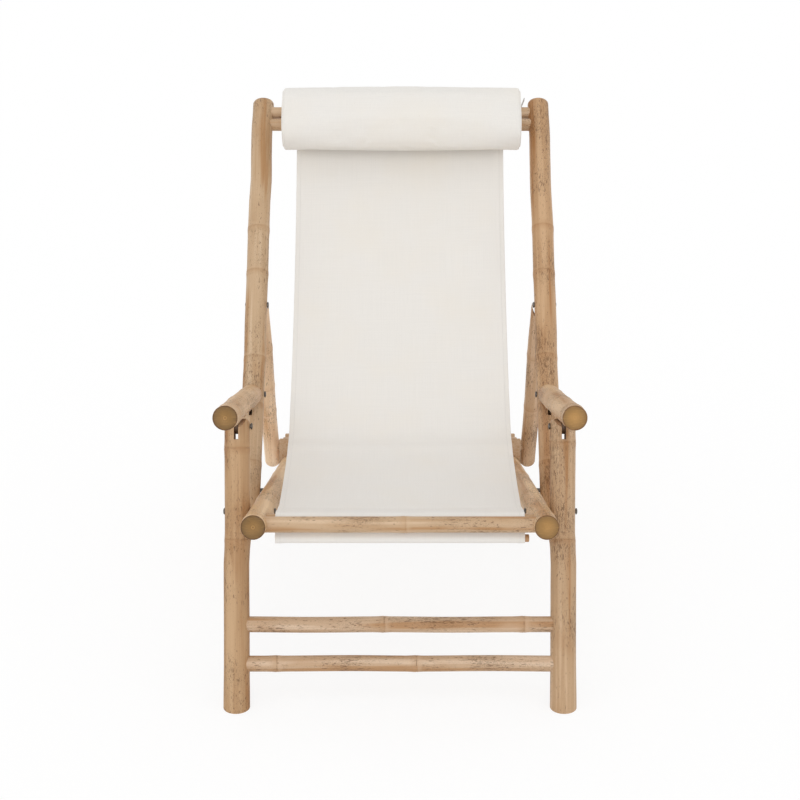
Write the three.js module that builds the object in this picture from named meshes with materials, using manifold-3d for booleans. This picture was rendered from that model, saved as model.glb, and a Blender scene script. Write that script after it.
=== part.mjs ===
// A bamboo folding recliner with a canvas sling and a head bolster.
// Millimetres and degrees. +Z is up, the sitter faces -Y, and +X is to the viewer's right in a front view.
// The frame is a four-bar linkage on each side: seat rail, back post, armrest and front leg.
import * as THREE from 'three';
import { mergeVertices } from 'three/addons/utils/BufferGeometryUtils.js';
import Module from 'manifold-3d';

const wasm = await Module();
wasm.setup();

// Frame layout
const sidePlane = 280;
const railFrontInset = 41;
const railRearInset = 63;
const railFrontHeight = 363;
const railRearHeight = 9.7;
const railLength = 1322;
const legPivotAlong = 186;
const postPivotAlong = 458;
const postRiseAngle = 46;
const armPivotAlong = 194;
const strutPivotAlong = 382.5;
const postTopAlong = 840;
const postFootLength = 42;
const legLeanAngle = 21;
const slotBelowArm = 32;
const armFrontBack = 17;
const armFrontRise = 184;
const strutLength = 454;
const strutInset = 10.4;

// Travel of the fold, and how far each follower turns for each degree of it
const foldTravelAngle = 32;
const legFollowShare = 1.06;
const armFollowShare = 0.785;
const strutFollowShare = 2.45;
const sweepSteps = 6;

// Culms
const railRadius = 20;
const legRadius = 22.3;
const postRadius = 21.4;
const postTopRadius = 20.6;
const armrestRadius = 20;
const strutRadius = 16;
const frontBarRadius = 13.3;
const floorBarRadius = 13;
const legBarRadius = 13.7;
const topBarLowerRadius = 11.5;
const topBarUpperRadius = 9.9;
const strutBarRadius = 10;
const nodeRingRise = 0.9;
const nodeRingWidth = 9;
const endRound = 3;
const culmSides = 18;
const barSides = 14;

// Where the nodes fall on each culm, as shares of its length
const railNodeShares = [0.215, 0.47, 0.72, 0.9];
const postNodeShares = [0.16, 0.354, 0.558, 0.667];
const legNodeShares = [0.03, 0.579];
const armNodeShares = [0.42];
const strutNodeShares = [0.45, 0.8];
const frontBarNodeShares = [0.24, 0.51, 0.8];
const legBarLowerNodeShares = [0.13, 0.56];
const legBarUpperNodeShares = [0.47, 0.9];

// Where the cross bars sit
const frontBarAlong = 33;
const frontBarSpacing = 31.6;
const floorBarFromRear = 86;
const legBarLowerHeight = 69.3;
const legBarUpperHeight = 132.3;
const topBarUpperFromTop = 26.6;
const topBarSpacing = 27.8;
const strutBarFromEnd = 55.8;

// Plates, bolts and slots
const fitGap = 0.35;
const runningGap = 1.2;
const linkageSlack = 2.6;
const cutOverrun = 4;
const plateThickness = 5;
const plateHalfHeight = 10;
const frontPlateHalfHeight = 13.5;
const slotWidth = 8;
const legSlotDepth = 24;
const armPlateReach = 84;
const strutPlateReach = 92;
const boltRadius = 4;
const boltHeadRadius = 6;
const boltHeadHeight = 3.2;
const boltHeadRimShare = 0.33;
const boltHeadShoulderShare = 0.8;
const boltSides = 12;
const nutThickness = 3.2;
const nutRadius = 6.4;
const nutSides = 6;
const boltTail = 0.8;
const tongueSteps = 6;

// Racks
const rackThickness = 27.5;
const rackOutset = 1.5;
const rackBeforeBar = 62;
const rackTreadHeight = 5.6;
const rackToothRun = 16;
const rackPitch = 75;
const rackFirstPitch = 135;
const rackFirstRise = 34;
const rackToothRise = 22.5;
const rackTail = 30;
const rackFootDepth = 12;

// Sling, rods and bolster
const slingInset = 33;
const slingThickness = 2;
const slingGap = 1.3;
const sleeveRadius = 8;
const rodRadius = 6.4;
const rodInset = 28;
const frontRodDrop = 25;
const topRodSetback = 16;
const slingSplitGap = 0.6;
const seatCurveShares = [[0.323, 0.024], [0.598, 0.079], [0.858, 0.151], [0.948, 0.188]];
const backCurveShares = [[0.074, -0.043], [0.284, -0.079], [0.518, -0.089], [0.765, -0.065]];
const seatCurveSteps = 9;
const backCurveSteps = 18;
const sleeveAngles = [60, -255];
const topSleeveAngles = [75, -240];
const sleeveSteps = 14;
const wrapSteps = 6;
const seatLeaveAngle = 77;
const backArriveAngle = 147;
const bolsterInset = 42;
const bolsterHalfHeight = 67;
const bolsterFront = 52;
const bolsterBack = 40;
const bolsterBelowBar = 22.6;
const bolsterEndRound = 15;
const bolsterCrown = 3;
const bolsterSides = 24;
const bolsterRings = 10;
const bolsterEndRings = 4;
const bolsterSquarenessShare = 0.66;
const bolsterBackSquarenessShare = 0.5;
const bolsterEndShare = 0.72;
const loopInset = 58;
const loopWidth = 20;
const loopThickness = 1.4;
const loopSteps = 8;

// Making
const weldGap = 0.00035;
const floorCutReach = 3000;

// Widths and heights that follow from others
const railFrontHalfSpan = sidePlane - railFrontInset;
const railRearHalfSpan = sidePlane - railRearInset;
const strutHalfSpan = sidePlane - strutInset;
const slingHalfWidth = railFrontHalfSpan - slingInset;
const rodHalfLength = railFrontHalfSpan - rodInset;
const bolsterHalfLength = sidePlane - bolsterInset;
const loopHalfSpan = sidePlane - loopInset;
const topBarUpperAlong = postTopAlong - topBarUpperFromTop;
const topBarLowerAlong = topBarUpperAlong - topBarSpacing;
const bolsterAlong = topBarLowerAlong - bolsterBelowBar;
const floorBarAlong = railLength - floorBarFromRear;

// Colours
const finish = (color, roughness, metalness) => new THREE.MeshStandardMaterial({ color, roughness, metalness });
const bambooMaterial = () => finish(0xc9a67c, 0.6, 0);
const boardMaterial = () => finish(0xb98f63, 0.65, 0);
const canvasMaterial = () => finish(0xe9e6df, 0.9, 0);
const steelMaterial = () => finish(0x4a4541, 0.4, 0.9);
const plateMaterial = () => finish(0x7a5638, 0.5, 0.3);

// Plane geometry: a side view holds (back, height) pairs as Vector2
const radians = THREE.MathUtils.degToRad;
const degrees = THREE.MathUtils.radToDeg;
const heading = (angle) => new THREE.Vector2(Math.cos(radians(angle)), Math.sin(radians(angle)));
const along = (from, direction, distance) => from.clone().addScaledVector(direction, distance);
const quarterTurn = (direction) => new THREE.Vector2(-direction.y, direction.x);

const railSlopeAngle = degrees(Math.asin((railFrontHeight - railRearHeight) / railLength));
const railHeading = heading(-railSlopeAngle);
const railUp = quarterTurn(railHeading);
const railFront = new THREE.Vector2(0, railFrontHeight);
const railRear = along(railFront, railHeading, railLength);
const legPivot = along(railFront, railHeading, legPivotAlong);
const postPivot = along(railFront, railHeading, postPivotAlong);
const postHeading = heading(postRiseAngle);
const postFace = quarterTurn(postHeading);
const onPost = (distance, outset = 0) => along(along(postPivot, postHeading, distance), postFace, outset);
const armPivot = onPost(armPivotAlong);
const strutPivot = onPost(strutPivotAlong);
const legHeading = heading(90 - legLeanAngle);
const footPoint = along(legPivot, legHeading, -legPivot.y / legHeading.y);

// The slot's pivot is where the leg comes to its distance under the armrest's axis
const armFront = new THREE.Vector2(armFrontBack, railFrontHeight + armFrontRise);
const armHeading = armPivot.clone().sub(armFront).normalize();
const armUp = quarterTurn(armHeading);
const armAboveLegPivot = armUp.dot(armFront.clone().sub(legPivot));
const slotPivot = along(legPivot, legHeading, (armAboveLegPivot - slotBelowArm) / armUp.dot(legHeading));

// The prop leans back until its bar rests on the rack's tread
const strutBarRise = railRadius + rackTreadHeight + strutBarRadius + fitGap;
const strutPivotRise = strutPivot.clone().sub(railFront).dot(railUp);
const strutPivotBack = strutPivot.clone().sub(railFront).dot(railHeading);
const strutBarReach = Math.sqrt((strutLength - strutBarFromEnd) ** 2 - (strutPivotRise - strutBarRise) ** 2);
const strutBarAlong = strutPivotBack + strutBarReach;
const strutBarCentre = along(along(railFront, railHeading, strutBarAlong), railUp, strutBarRise);
const strutHeading = strutBarCentre.clone().sub(strutPivot).normalize();
const strutEnd = along(strutPivot, strutHeading, strutLength);
const rackStartAlong = strutBarAlong - rackBeforeBar;
const railHalfSpanAt = (distance) =>
	THREE.MathUtils.lerp(railFrontHalfSpan, railRearHalfSpan, distance / railLength);

// Solids
function weld(geometry) {
	const bare = geometry.clone();
	bare.deleteAttribute('normal');
	bare.deleteAttribute('uv');
	const merged = mergeVertices(bare, weldGap);
	const corners = Array.from(merged.index.array);
	const kept = [];
	for (let i = 0; i < corners.length; i += 3) {
		const [a, b, c] = corners.slice(i, i + 3);
		if (a !== b && b !== c && c !== a) kept.push(a, b, c);
	}
	merged.setIndex(kept);
	return merged;
}

function toSolid(geometry) {
	const merged = weld(geometry);
	const mesh = new wasm.Mesh({
		numProp: 3,
		vertProperties: new Float32Array(merged.attributes.position.array),
		triVerts: new Uint32Array(merged.index.array),
	});
	return new wasm.Manifold(mesh);
}

function toGeometry(solid) {
	const mesh = solid.getMesh();
	const geometry = new THREE.BufferGeometry();
	geometry.setAttribute('position', new THREE.BufferAttribute(new Float32Array(mesh.vertProperties), 3));
	geometry.setIndex(new THREE.BufferAttribute(new Uint32Array(mesh.triVerts), 1));
	return geometry;
}

// A matrix that takes +Y to the line from one point to another
function alignment(from, to) {
	const up = to.clone().sub(from).normalize();
	const side = Math.abs(up.x) > Math.SQRT1_2 ? new THREE.Vector3(0, 0, 1) : new THREE.Vector3(1, 0, 0);
	const front = new THREE.Vector3().crossVectors(side, up).normalize();
	const across = new THREE.Vector3().crossVectors(up, front);
	return new THREE.Matrix4().makeBasis(across, up, front).setPosition(from);
}

// A culm is turned about its axis: rounded ends and a slightly raised ring at each node
function culm({ from, to, radius, endRadius = radius, nodeShares = [], sides = culmSides, grow = 0 }) {
	const length = from.distanceTo(to);
	const round = grow > 0 ? 0 : endRound;
	const at = (y) => THREE.MathUtils.lerp(radius, endRadius, y / length) + grow;
	const profile = [new THREE.Vector2(0, -grow), new THREE.Vector2(at(0) - round, -grow)];
	if (round > 0) profile.push(new THREE.Vector2(at(0), round));
	for (const share of nodeShares) {
		const y = share * length;
		profile.push(new THREE.Vector2(at(y), y - nodeRingWidth));
		profile.push(new THREE.Vector2(at(y) + nodeRingRise, y));
		profile.push(new THREE.Vector2(at(y), y + nodeRingWidth / 2));
	}
	if (round > 0) profile.push(new THREE.Vector2(at(length), length - round));
	profile.push(new THREE.Vector2(at(length) - round, length + grow));
	profile.push(new THREE.Vector2(0, length + grow));
	return weld(new THREE.LatheGeometry(profile, sides)).applyMatrix4(alignment(from, to));
}

const inSpace = (x, point) => new THREE.Vector3(x, point.x, point.y);

// A block with its faces along a side-view direction: half sizes across X, along and off that direction
function block(centre, direction, halfWidth, halfAlong, halfOff) {
	const geometry = new THREE.BoxGeometry(halfWidth * 2, halfAlong * 2, halfOff * 2);
	geometry.rotateX(Math.atan2(direction.y, direction.x));
	return geometry.translate(centre.x, centre.y, centre.z);
}

// A rod along X with flats that clear a bolt of the same number of sides
function crossRod(centre, radius, halfLength, sides = boltSides) {
	const geometry = new THREE.CylinderGeometry(radius, radius, halfLength * 2, sides);
	geometry.rotateZ(radians(90));
	return geometry.translate(centre.x, centre.y, centre.z);
}

const boreRadius = (boltRadius + fitGap) / Math.cos(Math.PI / boltSides);
const bore = (x, point, halfLength, slack = 0) =>
	toSolid(crossRod(inSpace(x, point), boreRadius + slack, halfLength));

function turned(geometry, x, pivot, angle) {
	const centre = inSpace(x, pivot);
	const copy = geometry.clone();
	copy.translate(-centre.x, -centre.y, -centre.z);
	copy.rotateX(radians(angle));
	return copy.translate(centre.x, centre.y, centre.z);
}

// What a turning neighbour sweeps, as seen from the piece that has to clear it
function swept(geometry, x, pivot, angle) {
	let sweep = toSolid(geometry);
	for (let step = 1; step <= sweepSteps; step += 1) {
		sweep = sweep.add(toSolid(turned(geometry, x, pivot, (angle * step) / sweepSteps)));
	}
	return sweep;
}

// A flat outline in the side view, given its thickness along X about a middle plane
function sidePlate(outline, x, thickness, curveSegments = 1) {
	const options = { depth: thickness, bevelEnabled: false, curveSegments };
	const geometry = new THREE.ExtrudeGeometry(outline, options);
	geometry.rotateZ(radians(90));
	geometry.rotateY(radians(90));
	return weld(geometry.translate(x - thickness / 2, 0, 0));
}

// The scene graph: one group for each moving body
const recliner = new THREE.Group();
const seatFrame = new THREE.Group();
const backFrame = new THREE.Group();
const frontLegs = new THREE.Group();
const armrests = new THREE.Group();
const prop = new THREE.Group();
recliner.add(seatFrame, backFrame, frontLegs, armrests, prop);

// Each mesh keeps its own origin at the middle of its box
function place(group, name, shape, material) {
	const geometry = shape.isBufferGeometry ? shape.clone() : toGeometry(shape);
	geometry.computeBoundingBox();
	const middle = geometry.boundingBox.getCenter(new THREE.Vector3());
	geometry.translate(-middle.x, -middle.y, -middle.z);
	geometry.computeVertexNormals();
	const mesh = new THREE.Mesh(geometry, material);
	mesh.name = name;
	mesh.position.copy(middle);
	group.add(mesh);
}

const hands = [-1, 1];
const sideOf = (hand) => (hand < 0 ? 'left' : 'right');

// Culms of one side, which later cuts and saddles reuse in a grown copy
const railCulm = (hand, grow = 0) => culm({
	from: inSpace(hand * railFrontHalfSpan, railFront),
	to: inSpace(hand * railRearHalfSpan, railRear),
	radius: railRadius,
	nodeShares: railNodeShares,
	grow,
});
const postCulm = (hand, grow = 0) => culm({
	from: inSpace(hand * sidePlane, onPost(-postFootLength)),
	to: inSpace(hand * sidePlane, onPost(postTopAlong)),
	radius: postRadius,
	endRadius: postTopRadius,
	nodeShares: postNodeShares,
	grow,
});
const legCulm = (hand, grow = 0) => culm({
	from: inSpace(hand * sidePlane, along(footPoint, legHeading, -legRadius)),
	to: inSpace(hand * sidePlane, along(slotPivot, legHeading, slotBelowArm)),
	radius: legRadius,
	nodeShares: legNodeShares,
	grow,
});
const armCulm = (hand, grow = 0) => culm({
	from: inSpace(hand * sidePlane, armFront),
	to: inSpace(hand * sidePlane, armPivot),
	radius: armrestRadius,
	nodeShares: armNodeShares,
	grow,
});
const strutCulm = (hand, grow = 0) => culm({
	from: inSpace(hand * strutHalfSpan, strutPivot),
	to: inSpace(hand * strutHalfSpan, strutEnd),
	radius: strutRadius,
	nodeShares: strutNodeShares,
	grow,
});

const floorCut = toSolid(new THREE.BoxGeometry(floorCutReach, floorCutReach, floorCutReach)
	.translate(0, 0, -floorCutReach / 2));

// A bar between two pieces of a side is cut to a saddle on each of them
function crossBar(halfSpan, point, radius, nodeShares, carrier) {
	const bar = culm({
		from: inSpace(-halfSpan, point),
		to: inSpace(halfSpan, point),
		radius,
		nodeShares,
		sides: barSides,
	});
	let solid = toSolid(bar);
	for (const hand of hands) solid = solid.subtract(toSolid(carrier(hand, fitGap)));
	return solid;
}

// Plate outline: a round end about its pivot and a straight run into the culm that holds it
function tongueOutline(pivot, direction, reach, halfHeight) {
	const across = quarterTurn(direction).multiplyScalar(halfHeight);
	const far = along(pivot, direction, reach);
	const startAngle = Math.atan2(across.y, across.x);
	const outline = new THREE.Shape();
	outline.moveTo(far.x + across.x, far.y + across.y);
	outline.lineTo(pivot.x + across.x, pivot.y + across.y);
	outline.absarc(pivot.x, pivot.y, halfHeight, startAngle, startAngle + Math.PI, false);
	outline.lineTo(far.x - across.x, far.y - across.y);
	return outline;
}

function tongue(x, pivot, direction, reach, slack = 0, halfHeight = plateHalfHeight) {
	const outline = tongueOutline(pivot, direction, reach, halfHeight);
	const plate = sidePlate(outline, x, plateThickness, tongueSteps);
	return toSolid(plate).subtract(bore(x, pivot, plateThickness, slack));
}

// The pocket that holds a tongue inside a culm, open towards the pivot
function pocket(x, pivot, direction, reach, halfHeight = plateHalfHeight) {
	const halfRun = (reach + fitGap) / 2;
	const middle = inSpace(x, along(pivot, direction, halfRun));
	return toSolid(block(middle, direction, plateThickness / 2 + fitGap, halfRun, halfHeight + fitGap));
}

// A slot that a tongue turns in: from one distance to another along a culm, and off its axis
function slot(x, pivot, direction, [lowAlong, highAlong], [lowOff, highOff]) {
	const halfway = along(pivot, direction, (lowAlong + highAlong) / 2);
	const middle = along(halfway, quarterTurn(direction), (lowOff + highOff) / 2);
	return toSolid(block(inSpace(x, middle), direction, slotWidth / 2,
		(highAlong - lowAlong) / 2, (highOff - lowOff) / 2));
}

// Half the length of slot that a tongue needs where it leaves a culm at an angle
const slotExit = (radius, angle) =>
	radius / Math.tan(radians(angle)) + (plateHalfHeight + runningGap) / Math.sin(radians(angle));

const angleBetween = (one, other) => degrees(Math.acos(one.dot(other)));
const restArmAngle = angleBetween(armHeading, postHeading);
const restStrutAngle = angleBetween(strutHeading, postHeading);
const armTurn = foldTravelAngle * armFollowShare;
const strutTurn = foldTravelAngle * strutFollowShare;
const legTurn = foldTravelAngle * (legFollowShare - 1 + armFollowShare);
const foldedArmAngle = restArmAngle - armTurn;
const foldedStrutAngle = restStrutAngle - strutTurn;
const pivotRoom = plateHalfHeight + runningGap + fitGap;
const legSlotRun = legSlotDepth + slotBelowArm;

for (const hand of hands) {
	const side = sideOf(hand);
	const x = hand * sidePlane;
	const strutX = hand * strutHalfSpan;
	const throughBore = sidePlane / 2;

	const rail = toSolid(railCulm(hand))
		.subtract(floorCut)
		.subtract(bore(x, legPivot, throughBore))
		.subtract(bore(x, postPivot, throughBore));
	place(seatFrame, `seat_rail_${side}`, rail, bambooMaterial());

	const post = toSolid(postCulm(hand))
		.subtract(bore(x, postPivot, throughBore))
		.subtract(bore(x, armPivot, throughBore))
		.subtract(bore(x, strutPivot, throughBore))
		.subtract(slot(x, armPivot, postHeading,
			[-slotExit(postRadius, foldedArmAngle), pivotRoom],
			[-pivotRoom, postRadius + cutOverrun]))
		.subtract(slot(strutX, strutPivot, postHeading,
			[-slotExit(postRadius, 180 - restStrutAngle), slotExit(postRadius, foldedStrutAngle)],
			[-postRadius - cutOverrun, pivotRoom]));
	place(backFrame, `back_post_${side}`, post, bambooMaterial());

	const armSweep = swept(armCulm(hand, runningGap + linkageSlack), x, slotPivot, legTurn);
	const leg = toSolid(legCulm(hand))
		.subtract(floorCut)
		.subtract(bore(x, legPivot, throughBore))
		.subtract(bore(x, slotPivot, throughBore))
		.subtract(slot(x, slotPivot, legHeading,
			[-legSlotDepth, legSlotRun],
			[-legRadius - cutOverrun, legRadius + cutOverrun]))
		.subtract(armSweep);
	place(frontLegs, `leg_${side}`, leg, bambooMaterial());

	const postSweep = swept(postCulm(hand, runningGap), x, armPivot, -armTurn);
	const armBack = armHeading.clone().negate();
	const arm = toSolid(armCulm(hand))
		.subtract(postSweep)
		.subtract(pocket(x, armPivot, armBack, armPlateReach))
		.subtract(pocket(x, slotPivot, armUp, slotBelowArm, frontPlateHalfHeight));
	const rearPlate = tongue(x, armPivot, armBack, armPlateReach);
	const frontPlate = tongue(x, slotPivot, armUp, slotBelowArm, linkageSlack, frontPlateHalfHeight);
	place(armrests, `armrest_${side}`, arm, bambooMaterial());
	place(armrests, `arm_plate_rear_${side}`, rearPlate, plateMaterial());
	place(armrests, `arm_plate_front_${side}`, frontPlate, plateMaterial());

	const postEnvelope = block(inSpace(x, strutPivot), postHeading, postRadius + strutRadius,
		postTopAlong, postRadius + runningGap);
	const postSweepBehind = swept(postEnvelope, x, strutPivot, -strutTurn);
	const strut = toSolid(strutCulm(hand))
		.subtract(postSweepBehind)
		.subtract(pocket(strutX, strutPivot, strutHeading, strutPlateReach));
	const strutPlate = tongue(strutX, strutPivot, strutHeading, strutPlateReach);
	place(prop, `strut_${side}`, strut, bambooMaterial());
	place(prop, `strut_plate_${side}`, strutPlate, plateMaterial());
}

// Cross bars, each cut to a saddle on the culms that carry it
const frontBarPoint = along(railFront, railHeading, frontBarAlong);
const innerBarPoint = along(frontBarPoint, railHeading, frontBarSpacing);
const floorBarPoint = along(railFront, railHeading, floorBarAlong);
const legBarPoint = (height) => along(footPoint, legHeading, height / legHeading.y);
const lowerBarPoint = onPost(topBarLowerAlong);
const upperBarPoint = onPost(topBarUpperAlong);

const crossBars = [
	{ group: seatFrame, name: 'front_bar', halfSpan: railFrontHalfSpan, point: frontBarPoint,
		radius: frontBarRadius, nodeShares: frontBarNodeShares, carrier: railCulm },
	{ group: seatFrame, name: 'front_bar_inner', halfSpan: railFrontHalfSpan, point: innerBarPoint,
		radius: frontBarRadius, nodeShares: legBarUpperNodeShares, carrier: railCulm },
	{ group: seatFrame, name: 'floor_bar', halfSpan: railRearHalfSpan, point: floorBarPoint,
		radius: floorBarRadius, nodeShares: legBarLowerNodeShares, carrier: railCulm },
	{ group: frontLegs, name: 'leg_bar_lower', halfSpan: sidePlane, point: legBarPoint(legBarLowerHeight),
		radius: legBarRadius, nodeShares: legBarLowerNodeShares, carrier: legCulm },
	{ group: frontLegs, name: 'leg_bar_upper', halfSpan: sidePlane, point: legBarPoint(legBarUpperHeight),
		radius: legBarRadius, nodeShares: legBarUpperNodeShares, carrier: legCulm },
	{ group: backFrame, name: 'top_bar_lower', halfSpan: sidePlane, point: lowerBarPoint,
		radius: topBarLowerRadius, nodeShares: frontBarNodeShares, carrier: postCulm },
	{ group: backFrame, name: 'top_bar_upper', halfSpan: sidePlane, point: upperBarPoint,
		radius: topBarUpperRadius, nodeShares: legBarUpperNodeShares, carrier: postCulm },
	{ group: prop, name: 'strut_bar', halfSpan: strutHalfSpan, point: strutBarCentre,
		radius: strutBarRadius, nodeShares: legBarLowerNodeShares, carrier: strutCulm },
];
for (const { group, name, halfSpan, point, radius, nodeShares, carrier } of crossBars) {
	place(group, name, crossBar(halfSpan, point, radius, nodeShares, carrier), bambooMaterial());
}

// A rack is a toothed board on top of its rail, with a hollow underside that fits the rail
const rackBase = railRadius + rackTreadHeight;
function rackOutline() {
	const profile = [[0, -rackFootDepth]];
	profile.push([0, railRadius + rackFirstRise]);
	profile.push([rackToothRun, railRadius + rackFirstRise]);
	profile.push([rackToothRun * 2, rackBase]);
	const laterTeeth = [rackFirstPitch, rackFirstPitch + rackPitch];
	for (const start of laterTeeth) {
		profile.push([start, rackBase]);
		profile.push([start, railRadius + rackToothRise]);
		profile.push([start + rackToothRun, railRadius + rackToothRise]);
		profile.push([start + rackToothRun * 2, rackBase]);
	}
	const end = rackFirstPitch + rackPitch + rackToothRun * 2 + rackTail;
	profile.push([end, rackBase]);
	profile.push([end, -rackFootDepth]);
	const points = profile.map(([run, rise]) =>
		along(along(railFront, railHeading, rackStartAlong + run), railUp, rise));
	return new THREE.Shape(points);
}
for (const hand of hands) {
	const outerFace = railHalfSpanAt(rackStartAlong) + railRadius + rackOutset;
	const x = hand * (outerFace - rackThickness / 2);
	const rack = toSolid(sidePlate(rackOutline(), x, rackThickness)).subtract(toSolid(railCulm(hand, fitGap)));
	place(seatFrame, `rack_${sideOf(hand)}`, rack, boardMaterial());
}

// Bolts run along X through two pieces, with a domed head outside and a nut inside
function addBolt(group, name, hand, point, outerX, innerX) {
	const nutFace = innerX - fitGap;
	const tip = nutFace - nutThickness - boltTail;
	const headSeat = outerX + fitGap;
	const profile = [
		new THREE.Vector2(0, tip),
		new THREE.Vector2(boltRadius, tip),
		new THREE.Vector2(boltRadius, headSeat),
		new THREE.Vector2(boltHeadRadius, headSeat),
		new THREE.Vector2(boltHeadRadius, headSeat + boltHeadHeight * boltHeadRimShare),
		new THREE.Vector2(boltHeadRadius * Math.SQRT1_2, headSeat + boltHeadHeight * boltHeadShoulderShare),
		new THREE.Vector2(0, headSeat + boltHeadHeight),
	];
	const bolt = weld(new THREE.LatheGeometry(profile, boltSides));
	bolt.rotateZ(radians(-90 * hand));
	bolt.translate(0, point.x, point.y);
	place(group, `${name}_${sideOf(hand)}`, bolt, steelMaterial());

	const nutMiddle = hand * (nutFace - nutThickness / 2);
	const nut = toSolid(crossRod(inSpace(nutMiddle, point), nutRadius, nutThickness / 2, nutSides))
		.subtract(bore(nutMiddle, point, nutThickness));
	place(group, `${name}_nut_${sideOf(hand)}`, nut, steelMaterial());
}

for (const hand of hands) {
	const railInner = (distance) => railHalfSpanAt(distance) - railRadius;
	const postAt = (distance) => THREE.MathUtils.lerp(postRadius, postTopRadius, distance / postTopAlong);
	addBolt(seatFrame, 'leg_bolt', hand, legPivot, sidePlane + legRadius, railInner(legPivotAlong));
	addBolt(seatFrame, 'post_bolt', hand, postPivot, sidePlane + postRadius, railInner(postPivotAlong));
	addBolt(backFrame, 'arm_bolt', hand, armPivot, sidePlane + postAt(armPivotAlong),
		sidePlane - postAt(armPivotAlong));
	addBolt(backFrame, 'strut_bolt', hand, strutPivot, sidePlane + postAt(strutPivotAlong),
		sidePlane - postAt(strutPivotAlong));
	addBolt(frontLegs, 'slot_bolt', hand, slotPivot, sidePlane + legRadius, sidePlane - legRadius);
}

// A cloth ribbon: a middle line in the side view, thickened, and given the sling's width
function ribbon(points) {
	const left = [];
	const right = [];
	points.forEach((point, i) => {
		const before = points[Math.max(i - 1, 0)];
		const after = points[Math.min(i + 1, points.length - 1)];
		const normal = quarterTurn(after.clone().sub(before).normalize()).multiplyScalar(slingThickness / 2);
		left.push(point.clone().add(normal));
		right.unshift(point.clone().sub(normal));
	});
	return sidePlate(new THREE.Shape([...left, ...right]), 0, slingHalfWidth * 2);
}
function arcPoints(centre, radius, fromAngle, toAngle, steps) {
	const points = [];
	for (let i = 0; i <= steps; i += 1) {
		points.push(along(centre, heading(THREE.MathUtils.lerp(fromAngle, toAngle, i / steps)), radius));
	}
	return points;
}

// The front sleeve hangs under the two front bars, and the cloth comes up between them
const frontGapMiddle = along(frontBarPoint, railHeading, frontBarSpacing / 2);
const frontRodPoint = along(frontGapMiddle, railUp, -frontRodDrop);
const wrapRadius = (barRadius) => barRadius + slingGap + slingThickness / 2;
const seatCurve = new THREE.SplineCurve(seatCurveShares.map(([backShare, riseShare]) =>
	along(along(railFront, railHeading, backShare * postPivotAlong), railUp, riseShare * postPivotAlong)));
const seatLine = [
	...arcPoints(frontRodPoint, sleeveRadius, sleeveAngles[0], sleeveAngles[1], sleeveSteps),
	...arcPoints(innerBarPoint, wrapRadius(frontBarRadius), 180 - railSlopeAngle, seatLeaveAngle, wrapSteps),
	...seatCurve.getPoints(seatCurveSteps),
];
place(seatFrame, 'sling_seat', ribbon(seatLine), canvasMaterial());

// The back half climbs to the lower top bar, passes between the bars and ends in a sleeve behind them
const topRodPoint = onPost((topBarLowerAlong + topBarUpperAlong) / 2, -topRodSetback);
const splitPoint = seatCurve.getPoint(1);
const topWrapRadius = wrapRadius(topBarLowerRadius);
const lowerBarWrap = arcPoints(lowerBarPoint, topWrapRadius, backArriveAngle, postRiseAngle, wrapSteps);
const backSpan = lowerBarWrap[0].clone().sub(splitPoint);
const backCurve = new THREE.SplineCurve([
	along(splitPoint, backSpan.clone().normalize(), slingSplitGap),
	...backCurveShares.map(([alongShare, sagShare]) =>
		along(along(splitPoint, backSpan, alongShare), quarterTurn(backSpan), sagShare)),
	lowerBarWrap[0],
]);
const topSleeve = topSleeveAngles.map((angle) => postRiseAngle + angle);
const backLine = [
	...backCurve.getPoints(backCurveSteps),
	...lowerBarWrap.slice(1),
	...arcPoints(topRodPoint, sleeveRadius, ...topSleeve, sleeveSteps),
];
place(backFrame, 'sling_back', ribbon(backLine), canvasMaterial());

function addRod(group, name, point) {
	place(group, name, weld(crossRod(inSpace(0, point), rodRadius, rodHalfLength)), boardMaterial());
}
addRod(seatFrame, 'sling_rod_front', frontRodPoint);
addRod(backFrame, 'sling_rod_top', topRodPoint);

// The head bolster: an oval section with a flattened back, fuller at its middle, with rounded ends
const signedPower = (value, power) => Math.sign(value) * Math.abs(value) ** power;

function bolsterStations() {
	const straight = bolsterHalfLength - bolsterEndRound;
	const stations = [];
	for (let i = 1; i <= bolsterEndRings; i += 1) {
		const turn = (Math.PI / 2) * (i / bolsterEndRings);
		const share = THREE.MathUtils.lerp(bolsterEndShare, 1, Math.sin(turn));
		stations.push([-straight - bolsterEndRound * Math.cos(turn), share]);
	}
	for (let i = 1; i < bolsterRings; i += 1) stations.push([straight * ((2 * i) / bolsterRings - 1), 1]);
	stations.unshift([-bolsterHalfLength, bolsterEndShare]);
	const mirrored = stations.slice(0, bolsterEndRings + 1).reverse().map(([x, share]) => [-x, share]);
	return [...stations, ...mirrored];
}

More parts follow.
